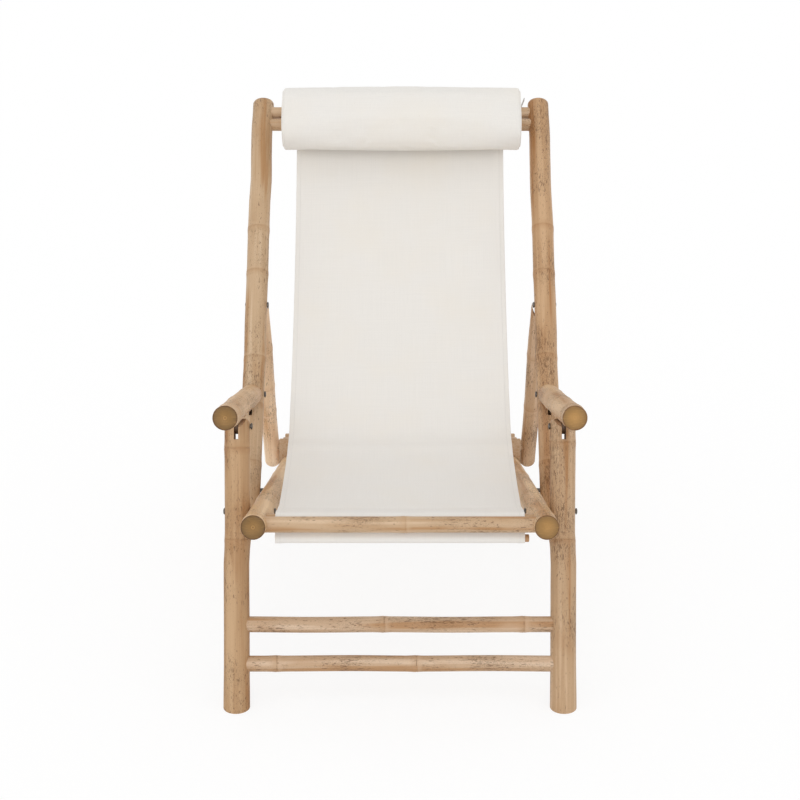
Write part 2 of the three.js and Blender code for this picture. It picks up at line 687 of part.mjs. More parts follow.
function bolsterGeometry() {
	const barShare = (bolsterBelowBar / bolsterHalfHeight) ** (1 / bolsterSquarenessShare);
	const backAtBar = bolsterBack * Math.sqrt(1 - barShare ** 2) ** bolsterBackSquarenessShare;
	const centreOutset = topWrapRadius + slingThickness / 2 + fitGap + backAtBar;
	const stations = bolsterStations();
	const positions = [];
	for (const [x, share] of stations) {
		const crown = bolsterCrown * (1 - (x / bolsterHalfLength) ** 2);
		for (let i = 0; i < bolsterSides; i += 1) {
			const turn = (2 * Math.PI * i) / bolsterSides;
			const front = Math.sin(turn) > 0;
			const depth = front ? bolsterFront + crown - bolsterCrown : bolsterBack;
			const height = bolsterHalfHeight + crown - bolsterCrown;
			const square = front ? bolsterSquarenessShare : bolsterBackSquarenessShare;
			const rise = signedPower(Math.cos(turn), bolsterSquarenessShare) * height * share;
			const outset = signedPower(Math.sin(turn), square) * depth * share;
			const point = onPost(bolsterAlong + rise, centreOutset + outset);
			positions.push(x, point.x, point.y);
		}
	}
	const index = [];
	for (let ring = 0; ring < stations.length - 1; ring += 1) {
		for (let i = 0; i < bolsterSides; i += 1) {
			const a = ring * bolsterSides + i;
			const b = ring * bolsterSides + ((i + 1) % bolsterSides);
			index.push(a, b, a + bolsterSides, b, b + bolsterSides, a + bolsterSides);
		}
	}
	for (const [first, flip] of [[0, false], [(stations.length - 1) * bolsterSides, true]]) {
		for (let i = 1; i < bolsterSides - 1; i += 1) {
			index.push(first, ...(flip ? [first + i, first + i + 1] : [first + i + 1, first + i]));
		}
	}
	const geometry = new THREE.BufferGeometry();
	geometry.setAttribute('position', new THREE.Float32BufferAttribute(positions, 3));
	geometry.setIndex(index);
	return geometry;
}
place(backFrame, 'pillow', bolsterGeometry(), canvasMaterial());

// Two bands go round both top bars beside the sling and hold the bolster
function roundBars(outset) {
	const path = new THREE.Path();
	const radius = topBarLowerRadius + fitGap + outset;
	const start = radians(postRiseAngle + 90);
	path.absarc(lowerBarPoint.x, lowerBarPoint.y, radius, start, start + Math.PI, false);
	path.absarc(upperBarPoint.x, upperBarPoint.y, radius, start + Math.PI, start + Math.PI * 2, false);
	path.closePath();
	return path.getPoints(loopSteps);
}
for (const hand of hands) {
	const outline = new THREE.Shape(roundBars(loopThickness));
	outline.holes.push(new THREE.Path(roundBars(0)));
	const loop = sidePlate(outline, hand * loopHalfSpan, loopWidth);
	place(backFrame, `pillow_loop_${sideOf(hand)}`, loop, canvasMaterial());
}

// The origin lies on the floor, midway between the furthest points in front and behind
recliner.updateMatrixWorld(true);
const bounds = new THREE.Box3().setFromObject(recliner);
const middle = bounds.getCenter(new THREE.Vector3());
recliner.position.set(-middle.x, -middle.y, -bounds.min.z);

export default recliner;
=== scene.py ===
"""A bamboo folding recliner with a canvas sling and a head bolster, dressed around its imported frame."""
import math
import random

import bmesh
import bpy
import numpy as np
from bpy.props import FloatProperty, FloatVectorProperty, IntProperty, PointerProperty
from bpy.types import Operator, Panel, PropertyGroup
from mathutils import Matrix, Vector
from mathutils.noise import noise


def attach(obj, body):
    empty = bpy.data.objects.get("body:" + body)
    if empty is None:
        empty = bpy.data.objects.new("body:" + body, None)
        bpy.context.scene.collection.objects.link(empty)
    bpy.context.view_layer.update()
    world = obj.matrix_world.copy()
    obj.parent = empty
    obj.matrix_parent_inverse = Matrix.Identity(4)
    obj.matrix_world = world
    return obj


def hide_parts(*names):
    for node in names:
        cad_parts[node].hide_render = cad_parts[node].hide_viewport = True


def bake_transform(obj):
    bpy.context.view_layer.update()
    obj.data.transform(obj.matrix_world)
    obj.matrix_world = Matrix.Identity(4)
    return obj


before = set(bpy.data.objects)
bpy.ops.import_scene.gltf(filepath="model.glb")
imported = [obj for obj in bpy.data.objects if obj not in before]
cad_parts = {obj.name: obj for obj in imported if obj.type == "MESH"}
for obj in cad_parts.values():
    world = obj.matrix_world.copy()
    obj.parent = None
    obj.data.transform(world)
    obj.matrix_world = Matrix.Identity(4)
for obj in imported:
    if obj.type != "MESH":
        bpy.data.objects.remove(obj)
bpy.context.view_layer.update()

bl_info = {
    "name": "Bamboo Recliner",
    "version": (1, 0, 0),
    "blender": (4, 5, 0),
    "location": "View3D > Sidebar > Recliner",
    "description": "Models a bamboo folding recliner around its packed frame",
    "category": "Add Mesh",
}

HANDS = {"left": -1, "right": 1}


def heading(angle):
    turn = math.radians(angle)
    return Vector((0, math.cos(turn), math.sin(turn)))


def quarter_turn(direction):
    return Vector((0, -direction.z, direction.y))


def at_x(point, x):
    return Vector((x, point.y, point.z))


def on_rail(distance, rise=0.0):
    return RAIL_FRONT + RAIL_HEADING * distance + RAIL_UP * rise


def on_post(distance, outset=0.0):
    return POST_PIVOT + POST_HEADING * distance + POST_FACE * outset


# Side view of the frame, in metres. Y runs back from the sitter's feet, and every point here has X at zero
FRONT_Y = -0.6369582
RAIL_FRONT_HEIGHT, RAIL_REAR_HEIGHT, RAIL_LENGTH = 0.363, 0.0097, 1.322
RAIL_SLOPE = math.degrees(math.asin((RAIL_FRONT_HEIGHT - RAIL_REAR_HEIGHT) / RAIL_LENGTH))
RAIL_HEADING = heading(-RAIL_SLOPE)
RAIL_UP = quarter_turn(RAIL_HEADING)
RAIL_FRONT = Vector((0, FRONT_Y, RAIL_FRONT_HEIGHT))
LEG_ALONG, POST_ALONG = 0.186, 0.458
LEG_PIVOT = on_rail(LEG_ALONG)
POST_PIVOT = on_rail(POST_ALONG)
POST_RISE = 46
POST_HEADING = heading(POST_RISE)
POST_FACE = quarter_turn(POST_HEADING)
POST_FOOT, POST_TOP = -0.042, 0.84
ARM_ALONG, STRUT_ALONG = 0.194, 0.3825
ARM_PIVOT = on_post(ARM_ALONG)
STRUT_PIVOT = on_post(STRUT_ALONG)
LEG_HEADING = heading(69)
FOOT = LEG_PIVOT - LEG_HEADING * (LEG_PIVOT.z / LEG_HEADING.z)
ARM_FRONT = Vector((0, FRONT_Y + 0.017, 0.547))
ARM_HEADING = (ARM_PIVOT - ARM_FRONT).normalized()
ARM_UP = quarter_turn(ARM_HEADING)
SLOT_BELOW_ARM = 0.032
SLOT_PIVOT = LEG_PIVOT + LEG_HEADING * (
    (ARM_UP.dot(ARM_FRONT - LEG_PIVOT) - SLOT_BELOW_ARM) / ARM_UP.dot(LEG_HEADING))
LEG_TOP = SLOT_PIVOT + LEG_HEADING * SLOT_BELOW_ARM
STRUT_LENGTH, STRUT_BAR_REACH, STRUT_BAR_RISE = 0.454, 0.3982, 0.03595
STRUT_FALL = (STRUT_PIVOT - RAIL_FRONT).dot(RAIL_UP) - STRUT_BAR_RISE
STRUT_RUN = math.sqrt(STRUT_BAR_REACH**2 - STRUT_FALL**2)
STRUT_BAR = on_rail((STRUT_PIVOT - RAIL_FRONT).dot(RAIL_HEADING) + STRUT_RUN, STRUT_BAR_RISE)
STRUT_HEADING = (STRUT_BAR - STRUT_PIVOT).normalized()
FRONT_BAR_ALONG, INNER_BAR_BEHIND = 0.033, 0.0316
FRONT_BAR = on_rail(FRONT_BAR_ALONG)
INNER_BAR = on_rail(FRONT_BAR_ALONG + INNER_BAR_BEHIND)
TOP_BAR_UPPER = on_post(0.8134)
TOP_BAR_LOWER = on_post(0.7856)
FRONT_ROD = on_rail(FRONT_BAR_ALONG + INNER_BAR_BEHIND / 2, -0.025)
TOP_ROD = on_post(0.7995, -0.016)

# Distances across the chair and between pieces, in metres
RAIL_INSET_FRONT, RAIL_INSET_REAR, STRUT_INSET = 0.041, 0.063, 0.0104
CROSS_BAR_RADIUS, TOP_BAR_RADIUS = 0.0133, 0.0115
SLING_GAP, SLING_ALLOWANCE = 0.0013, 0.001
SEAT_GAP = 0.00035

# How far a culm wanders off its line: pairs of a share of its length and a distance to +X, or up on a bar
POST_BENDS = {
    "left": ((0, 0), (0.1, 0.001), (0.22, 0.0022), (0.3, 0.0026), (0.35, 0.0036), (0.44, 0.0025),
             (0.56, 0.0031), (0.65, 0.0028), (0.73, 0.003), (0.797, 0.0048), (0.87, 0.0033), (0.92, 0.0029),
             (0.98, 0.0046), (1, 0.0046)),
    "right": ((0, 0), (0.1, 0), (0.26, -0.0002), (0.347, -0.0013), (0.42, 0), (0.5, 0.0001),
              (0.568, -0.0005), (0.67, 0), (0.78, -0.0016), (0.85, -0.0009), (0.91, -0.0001),
              (0.98, -0.0015), (1, -0.0015)),
}
LEG_BENDS = {
    "left": ((0, 0.0009), (0.25, 0.0009), (0.5, 0.0003), (0.534, 0.0013), (0.575, 0.0022), (0.67, 0.002),
             (0.75, 0.0016), (0.86, 0.0014), (1, 0.0014)),
    "right": ((0, 0.0003), (0.22, 0.0003), (0.41, 0.0006), (0.5, 0.0009), (0.54, 0), (0.59, -0.0012),
              (0.66, -0.0009), (0.75, -0.0005), (0.84, 0), (1, 0)),
}


def wandered(bends, share):
    """The distance off the line at a share of the length, with no corner at the given places"""
    for (low, a), (high, b) in zip(bends, bends[1:]):
        if share <= high:
            t = max(0, (share - low) / (high - low))
            return a + (b - a) * t * t * (3 - 2 * t)
    return bends[-1][1] if bends else 0


def metres(name, about, default, **limits):
    return FloatProperty(name=name, description=about, default=default, unit="LENGTH", **limits)


def paint(name, about, default):
    return FloatVectorProperty(
        name=name, description=about, subtype="COLOR", size=3, default=default, min=0, max=1)


class ReclinerSizes(PropertyGroup):
    """Sizes of the frame, the sling and the bolster"""

    side_plane: metres(
        "Side Plane", "Distance of legs, posts and armrests from the middle", 0.28, min=0.2, max=0.4)
    rail_radius: metres("Rail Radius", "Radius of the seat rails", 0.02)
    leg_radius: metres("Leg Radius", "Radius of the front legs", 0.0221)
    post_radius: metres("Post Radius", "Radius of the back posts", 0.0209)
    armrest_radius: metres("Armrest Radius", "Radius of the armrests", 0.02)
    strut_radius: metres("Strut Radius", "Radius of the prop's struts", 0.016)
    kink: metres("Kink", "How far a culm wanders off its line at its nodes", 0.0008)
    knot_rise: metres("Node Rise", "Height of the ring at a node", 0.0008)
    facets: IntProperty(name="Facets", description="Sides of a culm", default=44, min=16, max=96)
    sling_width: metres("Sling Width", "Width of the canvas sling", 0.412)
    sling_thickness: metres("Sling Thickness", "Thickness of the canvas", 0.0012)
    hem_width: metres("Hem Width", "Width of the sling's folded side hems", 0.012)
    bolster_half_length: metres("Bolster Half Length", "Half the length of the head bolster", 0.2385)


class ReclinerColours(PropertyGroup):
    """Colours of the finishes"""

    bamboo: paint("Bamboo", "Weathered bamboo rind", (0.55, 0.37, 0.225))
    bamboo_pale: paint("Pale Bamboo", "Bleached streaks", (0.66, 0.475, 0.315))
    bamboo_tan: paint("Tan Bamboo", "Warm bands along a culm", (0.44, 0.24, 0.11))
    bamboo_mark: paint("Bamboo Marks", "Dashes, specks and node lines", (0.12, 0.058, 0.025))
    cut_end: paint("Cut Ends", "Varnished end grain", (0.345, 0.19, 0.062))
    canvas: paint("Canvas", "Off-white cotton canvas", (0.86, 0.832, 0.788))
    plate: paint("Plates", "Brown painted steel plate", (0.13, 0.075, 0.04))


def sizes():
    return bpy.context.scene.recliner_sizes


def colours():
    return bpy.context.scene.recliner_colours


# Materials

class Recipe:
    """The node tree of a finish or of the world, with one short call for each kind of node"""

    def __init__(self, owner):
        owner.use_nodes = True
        self.owner, self.tree, self.colour = owner, owner.node_tree, None
        self.tree.nodes.clear()

    def node(self, kind, inputs=None, **settings):
        made = self.tree.nodes.new(kind)
        for key, value in settings.items():
            setattr(made, key, value)
        for key, value in (inputs or {}).items():
            socket = made.inputs[key]
            if isinstance(value, bpy.types.NodeSocket):
                self.tree.links.new(value, socket)
            elif hasattr(value, "__len__") and len(value) == 3 and len(socket.default_value) == 4:
                socket.default_value = (*value, 1)
            else:
                socket.default_value = value
        return made

    def attribute(self, name, output="Vector"):
        return self.node("ShaderNodeAttribute", attribute_name=name).outputs[output]

    def noise(self, vector, scale, detail=2.0, roughness=0.5, distortion=0.0, stretch=None, shift=(0, 0, 0)):
        if stretch:
            inputs = {"Vector": vector, "Scale": stretch, "Location": shift}
            vector = self.node("ShaderNodeMapping", inputs).outputs[0]
        return self.node("ShaderNodeTexNoise", {
            "Vector": vector, "Scale": scale, "Detail": detail, "Roughness": roughness,
            "Distortion": distortion}).outputs["Fac"]

    def ramp(self, factor, stops, smooth=False):
        made = self.node("ShaderNodeValToRGB", {"Fac": factor})
        made.color_ramp.interpolation = "EASE" if smooth else "LINEAR"
        elements = made.color_ramp.elements
        while len(elements) < len(stops):
            elements.new(0.5)
        for element, (place, colour) in zip(elements, stops):
            element.position = place
            element.color = (*colour, 1) if hasattr(colour, "__len__") else (colour, colour, colour, 1)
        return made.outputs["Color"]

    def math(self, operation, *values):
        return self.node("ShaderNodeMath", dict(enumerate(values)), operation=operation).outputs[0]

    def times(self, first, second):
        return self.math("MULTIPLY", first, second)

    def mix(self, factor, first, second, blend="MIX"):
        inputs = {0: factor, 6: first, 7: second}
        return self.node("ShaderNodeMix", inputs, data_type="RGBA", blend_type=blend).outputs[2]

    def coat(self, colour, amount, *span):
        """Lays a colour over the ones before it, by an amount that a span can bring into range"""
        amount = self.range(amount, *span) if span else amount
        self.colour = self.mix(amount, self.colour, colour)

    def range(self, value, low, high, to_low=0.0, to_high=1.0):
        inputs = {"Value": value, "From Min": low, "From Max": high, "To Min": to_low, "To Max": to_high}
        return self.node("ShaderNodeMapRange", inputs).outputs["Result"]

    def near(self, value, place, low, high):
        """1 where a value is within low of a place, and 0 from high on"""
        return self.range(self.math("ABSOLUTE", self.math("SUBTRACT", value, place)), low, high, 1, 0)

    def parts(self, vector):
        return self.node("ShaderNodeSeparateXYZ", {"Vector": vector}).outputs

    def joined(self, x, y, z):
        return self.node("ShaderNodeCombineXYZ", {"X": x, "Y": y, "Z": z}).outputs[0]

    def bump(self, height, distance, strength=1.0):
        inputs = {"Height": height, "Distance": distance, "Strength": strength}
        return self.node("ShaderNodeBump", inputs).outputs["Normal"]

    def seen(self):
        """1 for rays that find a white background: the camera's, reflected ones and those through glass"""
        rays = self.node("ShaderNodeLightPath").outputs
        indirect = self.math("MAXIMUM", rays["Is Glossy Ray"], rays["Is Transmission Ray"])
        return self.math("MAXIMUM", rays["Is Camera Ray"], indirect)

    def finish(self, **inputs):
        renamed = {key.replace("_", " "): value for key, value in inputs.items()}
        shader = self.node("ShaderNodeBsdfPrincipled", {"Base Color": self.colour, **renamed})
        self.node("ShaderNodeOutputMaterial", {"Surface": shader.outputs["BSDF"]})
        return self.owner


def recipe(name):
    return Recipe(bpy.data.materials.new(name))


def finish_of(name):
    """Makes a finish once, so that all its pieces share one material"""
    def decorate(mixture):
        made = []

        def wrapper():
            if not made:
                made.append(mixture(recipe(name), colours()))
            return made[0]

        return wrapper

    return decorate


def shade(colour, level):
    return tuple(min(1, v * level) for v in colour)


@finish_of("bamboo rind")
def bamboo_rind(r, c):
    grain, knot = r.attribute("grain"), r.attribute("knot", "Fac")
    off_knot = r.math("ABSOLUTE", knot)
    # Broad warm and bleached bands run the length of a culm
    bands = r.noise(grain, 62, 2, 0.5, stretch=(1, 1, 0.04))
    r.colour = r.ramp(
        bands, [(0.36, c.bamboo_tan), (0.47, c.bamboo), (0.53, c.bamboo), (0.64, c.bamboo_pale)], True)
    # Each length between nodes has bleached or stained in patches of its own
    patches = r.noise(grain, 26, 2.5, 0.6, stretch=(1, 1, 0.3))
    r.coat(c.bamboo_pale, patches, 0.5, 0.75, 0, 0.5)
    r.coat(c.bamboo_tan, patches, 0.45, 0.25, 0, 0.55)
    fibres = r.noise(grain, 850, 3, 0.65, stretch=(1, 1, 0.012))
    r.colour = r.mix(0.3, r.colour, r.ramp(fibres, [(0.3, 0.32), (0.52, 0.52), (0.72, 0.7)]), "SOFT_LIGHT")
    # Brown dashes, specks and thin wrinkles, in some places more than in others
    crowd = r.noise(grain, 19, 1.5, 0.5, stretch=(1, 1, 0.5), shift=(3, 1, 0))
    dashes = r.noise(grain, 470, 1.5, 0.6, 0.6, (1, 1, 0.25))
    dashed = r.range(r.math("MULTIPLY_ADD", crowd, 0.46, dashes), 0.84, 0.9)
    specked = r.range(r.math("MULTIPLY_ADD", crowd, 0.4, r.noise(grain, 900, 1, 0.5)), 0.84, 0.89, 0, 0.8)
    marks = r.math("MAXIMUM", dashed, specked)
    veins = r.noise(grain, 210, 2, 0.5, 1.4, (1, 1, 0.4), (5, 0, 2))
    vein = r.times(r.near(veins, 0.5, 0.0, 0.018), r.range(crowd, 0.42, 0.62, 0.12, 1))
    r.coat(shade(c.bamboo_tan, 0.62), r.times(vein, 0.6))
    r.coat(c.bamboo_mark, r.times(marks, 0.62))
    # Long hair cracks
    split = r.noise(grain, 210, 1, 0.4, 0, (1, 1, 0.006), (0, 2, 5))
    hair = r.times(r.near(split, 0.5, 0.0, 0.006), r.range(crowd, 0.52, 0.6))
    r.coat(c.bamboo_mark, r.times(hair, 0.45))
    # At a node: a thin dark line, a stained collar under it and a bleached one over it
    stained = r.times(r.range(off_knot, 0.0, 0.013, 0.4, 0), r.range(patches, 0.3, 0.7, 0.3, 1.3))
    r.coat(c.bamboo_tan, stained)
    above = r.times(r.range(knot, 0.0012, 0.0035), r.range(knot, 0.0045, 0.012, 0.3, 0))
    r.coat(c.bamboo_pale, above)
    ragged = r.math("MULTIPLY_ADD", r.noise(grain, 300, 2, 0.6), 0.0012, off_knot)
    line_strength = r.parts(r.attribute("look"))[0]
    broken = r.times(r.range(r.noise(grain, 95, 2, 0.6), 0.38, 0.6), line_strength)
    line = r.times(r.range(ragged, 0.0006, 0.0013, 1, 0), broken)
    r.coat(c.bamboo_mark, line)
    # Each piece's colour factor: partly its own tone, partly painted light that brightens pieces lying in
    # shade
    r.colour = r.mix(1.0, r.colour, r.attribute("tint"), "MULTIPLY")
    height = r.math("MULTIPLY_ADD", marks, -0.8, r.math("MULTIPLY_ADD", line, -1.5, fibres))
    height = r.math("MULTIPLY_ADD", vein, -0.4, height)
    return r.finish(Roughness=r.range(fibres, 0.25, 0.75, 0.42, 0.6),
                    Normal=r.bump(r.math("SUBTRACT", height, hair), 0.00028, 0.75), Specular_IOR_Level=0.3)


@finish_of("bamboo end grain")
def bamboo_end(r, c):
    """Sawn and varnished ends: wood that darkens towards a dark rind, with fibre dots and saw scratches"""
    across = r.attribute("grain")
    x, y, _ = r.parts(across)
    radius = r.math("SQRT", r.math("MULTIPLY_ADD", x, x, r.times(y, y)))
    share = r.math("DIVIDE", radius, r.attribute("gauge", "Fac"))
    wavy = r.math("MULTIPLY_ADD", r.noise(across, 170, 2, 0.55), 0.06, r.math("SUBTRACT", share, 0.03))
    wood = [(place, shade(c.cut_end, level)) for place, level in
            ((0.0, 1), (0.3, 0.93), (0.6, 0.74), (0.85, 0.56), (0.89, 0.52))]
    r.colour = r.ramp(wavy, [*wood, (0.925, c.bamboo_mark), (1.0, c.bamboo_mark)])
    _, light, pith = r.parts(r.attribute("look"))
    # Pith: a pale heart in a dark ring, with a dark dot
    heart = r.times(r.range(share, 0.21, 0.16), pith)
    r.coat(shade(c.cut_end, 1.5), r.times(heart, 0.6))
    ring = r.times(r.near(share, 0.2, 0.01, 0.035), pith)
    r.coat(shade(c.cut_end, 0.45), r.times(ring, 0.5))
    dot = r.times(r.range(share, 0.08, 0.04), pith)
    r.coat(c.bamboo_mark, r.times(dot, 0.8))
    scratches = r.noise(across, 650, 2, 0.6, stretch=(0.12, 1, 1))
    r.coat(shade(c.cut_end, 1.3), scratches, 0.56, 0.7, 0, 0.35)
    dots = r.node("ShaderNodeTexVoronoi", {"Vector": across, "Scale": 620.0}).outputs["Distance"]
    r.coat(c.bamboo_mark, dots, 0.1, 0.3, 0.22, 0)
    stain = r.noise(across, 75, 3, 0.6)
    r.coat(shade(c.cut_end, 0.6), stain, 0.45, 0.75, 0, 0.35)
    r.colour = r.mix(1.0, r.colour, r.joined(light, light, light), "MULTIPLY")
    return r.finish(Roughness=r.range(stain, 0.3, 0.7, 0.45, 0.6),
                    Normal=r.bump(r.math("ADD", dots, scratches), 0.00015, 0.4), Specular_IOR_Level=0.3)


@finish_of("bamboo cut face")
def bamboo_cut(r, c):
    """Raw wood inside slots and saddles"""
    grain = r.attribute("grain")
    fibres = r.noise(grain, 700, 3, 0.6, stretch=(1, 1, 0.05))
    r.colour = r.ramp(fibres, [(0.3, c.bamboo_tan), (0.5, c.bamboo), (0.7, shade(c.bamboo_pale, 0.92))])
    grime = r.noise(grain, 60, 3, 0.6)
    r.coat(c.bamboo_tan, grime, 0.4, 0.75, 0, 0.45)
    return r.finish(Roughness=r.range(grime, 0.3, 0.7, 0.62, 0.8),
                    Normal=r.bump(fibres, 0.0003, 0.8))


@finish_of("rack board")
def rack_board(r, c):
    """Sawn board of the racks: straight grain with darker growth lines and a few nicks"""
    grain = r.attribute("grain")
    lines = r.noise(grain, 300, 3, 0.6, 0.4, (1, 1, 0.02))
    r.colour = r.ramp(lines, [(0.28, c.bamboo_tan), (0.47, c.bamboo), (0.75, shade(c.bamboo_pale, 0.93))])
    fibres = r.noise(grain, 1500, 2, 0.6, stretch=(1, 1, 0.01))
    r.colour = r.mix(0.3, r.colour, r.ramp(fibres, [(0.3, 0.25), (0.7, 0.75)]), "SOFT_LIGHT")
    wear = r.noise(grain, 90, 3, 0.6)
    r.coat(c.bamboo_tan, wear, 0.55, 0.75, 0, 0.5)
    return r.finish(Roughness=r.range(wear, 0.3, 0.7, 0.55, 0.72),
                    Normal=r.bump(r.math("ADD", lines, fibres), 0.00025, 0.6))


@finish_of("dowel wood")
def dowel_wood(r, c):
    lines = r.noise(r.attribute("grain"), 420, 3, 0.6, 0.3, (1, 1, 0.03))
    r.colour = r.ramp(lines, [(0.3, shade(c.bamboo_tan, 0.75)), (0.55, c.bamboo_tan), (0.8, c.bamboo)])
    return r.finish(Roughness=r.range(lines, 0.3, 0.7, 0.5, 0.66),
                    Normal=r.bump(lines, 0.0002, 0.6))


def canvas(r, c, stitch_rows=(), cross_rows=()):
    """Cotton canvas: plain weave with thick and thin threads, soiling, and rows of lockstitch"""
    cloth = r.attribute("cloth")
    u, v, _ = r.parts(cloth)
    thread = math.tau / 0.0014
    warp, weft = (r.math("SINE", r.times(along, thread)) for along in (u, v))
    over = r.math("MULTIPLY_ADD", r.times(warp, weft), 0.5, 0.5)
    runs = (0.02, 1, 1), (1, 0.02, 1)
    weft_slubs, warp_slubs = (r.noise(cloth, 520, 2, 0.6, stretch=run) for run in runs)
    slubs = r.times(r.math("ADD", weft_slubs, warp_slubs), 0.5)
    r.colour = r.mix(r.range(slubs, 0.4, 0.6), shade(c.canvas, 0.972), c.canvas)
    warm = (c.canvas[0], c.canvas[1] * 0.975, c.canvas[2] * 0.93)
    r.coat(warm, r.noise(cloth, 7, 3, 0.55), 0.45, 0.75, 0, 0.6)
    # Darker where the weave is low: painted shade in the hollows between threads
    r.coat(shade(c.canvas, 0.7), over, 0.0, 0.35, 0.16, 0)
    flecks = r.noise(cloth, 700, 1, 0.5, stretch=(1, 0.25, 1))
    r.coat((0.5, 0.42, 0.3), flecks, 0.77, 0.82, 0, 0.35)
    height = r.math("MULTIPLY_ADD", slubs, 1.2, over)
    stitched = 0.0
    for rows, across, along in ((stitch_rows, u, v), (cross_rows, v, u)):
        run = r.math("ABSOLUTE", r.math("SINE", r.times(along, math.pi / 0.0034)))
        for place in rows:
            row = r.times(r.near(across, place, 0.0003, 0.0007), r.range(run, 0.25, 0.45))
            stitched = r.math("MAXIMUM", row, stitched)
    r.coat(shade(c.canvas, 0.78), r.times(stitched, 0.45))
    height = r.math("MULTIPLY_ADD", stitched, 2.2, height)
    return r.finish(Roughness=r.range(slubs, 0.3, 0.7, 0.84, 0.95),
                    Normal=r.bump(height, 0.00016, 0.7), Sheen_Weight=0.18, Sheen_Roughness=0.5)


@finish_of("bolster canvas")
def bolster_canvas(r, c):
    return canvas(r, c)


@finish_of("strap webbing")
def strap_webbing(r, c):
    """Grey-white webbing of the bands behind the bolster"""
    cloth = r.attribute("cloth")
    u, v, _ = r.parts(cloth)
    ribs = math.tau / 0.0022
    rib = r.math("SINE", r.math("MULTIPLY_ADD", u, ribs, r.times(v, ribs)))
    slubs = r.noise(cloth, 500, 2, 0.6, stretch=(1, 0.1, 1))
    r.colour = r.mix(r.range(slubs, 0.35, 0.65), shade(c.canvas, 0.62), shade(c.canvas, 0.8))
    # Darker in the troughs between the ribs: painted shade in the grooves
    r.coat(shade(c.canvas, 0.4), rib, -1, 0.2, 0.25, 0)
    return r.finish(Roughness=r.range(slubs, 0.3, 0.7, 0.78, 0.9),
                    Normal=r.bump(rib, 0.00018, 0.7))


@finish_of("brown plate")
def brown_plate(r, c):
    """Brown painted steel with worn paint"""
    place = r.node("ShaderNodeTexCoord").outputs["Object"]
    worn = r.noise(place, 85, 4, 0.62)
    r.colour = r.mix(r.range(worn, 0.5, 0.75, 0, 0.6), c.plate, shade(c.plate, 1.9))
    r.coat((0.2, 0.19, 0.18), worn, 0.72, 0.76, 0, 0.85)
    return r.finish(Metallic=r.range(worn, 0.72, 0.76, 0.0, 0.9),
                    Roughness=r.range(worn, 0.3, 0.7, 0.36, 0.52),
                    Normal=r.bump(r.noise(place, 900, 2, 0.5), 0.0001, 0.35))


@finish_of("dark steel")
def dark_steel(r, _):
    """Bolts and nuts: blackened steel, brighter where it is rubbed, with a little rust"""
    place = r.node("ShaderNodeTexCoord").outputs["Object"]
    wear = r.noise(place, 260, 4, 0.6)
    scratches = r.noise(place, 1500, 2, 0.6, stretch=(1, 0.15, 1))
    rust = r.noise(place, 140, 3, 0.65)
    dark, dull, rubbed = (0.07, 0.062, 0.055), (0.15, 0.135, 0.12), (0.3, 0.28, 0.26)
    r.colour = r.ramp(wear, [(0.3, dark), (0.6, dull), (0.8, rubbed)])
    rusty = r.range(rust, 0.58, 0.7, 0, 0.65)
    r.coat((0.16, 0.065, 0.028), rusty)
    rough = r.math("MULTIPLY_ADD", rusty, 0.35, r.range(scratches, 0.3, 0.7, 0.3, 0.48))
    return r.finish(Metallic=r.range(rust, 0.58, 0.7, 0.95, 0.35), Roughness=rough,
                    Normal=r.bump(scratches, 0.00008, 0.5))


# Modelling

def deselect_all():
    if bpy.context.object and bpy.context.object.mode != "OBJECT":
        bpy.ops.object.mode_set(mode="OBJECT")
    bpy.ops.object.select_all(action="DESELECT")


def pick(obj):
    deselect_all()
    obj.select_set(True)
    bpy.context.view_layer.objects.active = obj


def edit(obj=None):
    if obj:
        pick(obj)
    bpy.ops.object.mode_set(mode="EDIT")
    bpy.ops.mesh.select_all(action="SELECT")


def leave_edit(outwards=False):
    if outwards:
        bpy.ops.mesh.select_all(action="SELECT")
        bpy.ops.mesh.normals_make_consistent(inside=False)
    bpy.ops.object.mode_set(mode="OBJECT")


def named(name):
    """The new primitive, under its own name"""
    obj = bpy.context.object
    obj.name = obj.data.name = name
    return obj


def settle(obj, matrix):
    """Moves the mesh to its place and leaves the object at the origin"""
    obj.matrix_world = matrix
    pick(obj)
    bpy.ops.object.transform_apply(location=True, rotation=True, scale=True)


def apply_modifier(obj, kind, **settings):
    pick(obj)
    modifier = obj.modifiers.new(kind.lower(), kind)
    for key, value in settings.items():
        setattr(modifier, key, value)
    bpy.ops.object.modifier_apply(modifier=modifier.name)


def ease_edges(obj, width, sharper_than):
    apply_modifier(obj, "BEVEL", width=width, segments=2, limit_method="ANGLE",
                   angle_limit=math.radians(sharper_than))


def smooth(obj, angle=38):
    pick(obj)
    bpy.ops.object.shade_smooth_by_angle(angle=math.radians(angle))


def hand_over(obj, body, slot, *nodes, angle=38):
    """Shades a finished piece, puts it under its body and hides the nodes that it stands for; slot is not
    used
    """
    smooth(obj, angle)
    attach(obj, body)
    if nodes:
        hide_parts(*nodes)


def mark(obj, name, values):
    """Writes a number or a vector at each point, for the finishes to read"""
    values = np.asarray(values)
    kind, field = ("FLOAT_VECTOR", "vector") if values.ndim == 2 else ("FLOAT", "value")
    obj.data.attributes.new(name, kind, "POINT").data.foreach_set(field, values.ravel())


def lying(start, end):
    """A matrix that takes +Z to the line from start to end, with local X across the chair where it can be"""
    z = (end - start).normalized()
    across = Vector((0, 0, 1)) if abs(z.x) > 0.7 else Vector((1, 0, 0))
    y = z.cross(across).normalized()
    matrix = Matrix((y.cross(z), y, z)).transposed().to_4x4()
    matrix.translation = start
    return matrix


def select_faces(obj, wanted):
    """In edit mode, selects the faces for which wanted(face) holds"""
    bpy.ops.mesh.select_mode(type="FACE")
    bpy.ops.mesh.select_all(action="DESELECT")
    shape = bmesh.from_edit_mesh(obj.data)
    for face in shape.faces:
        face.select_set(wanted(face))
    bmesh.update_edit_mesh(obj.data)


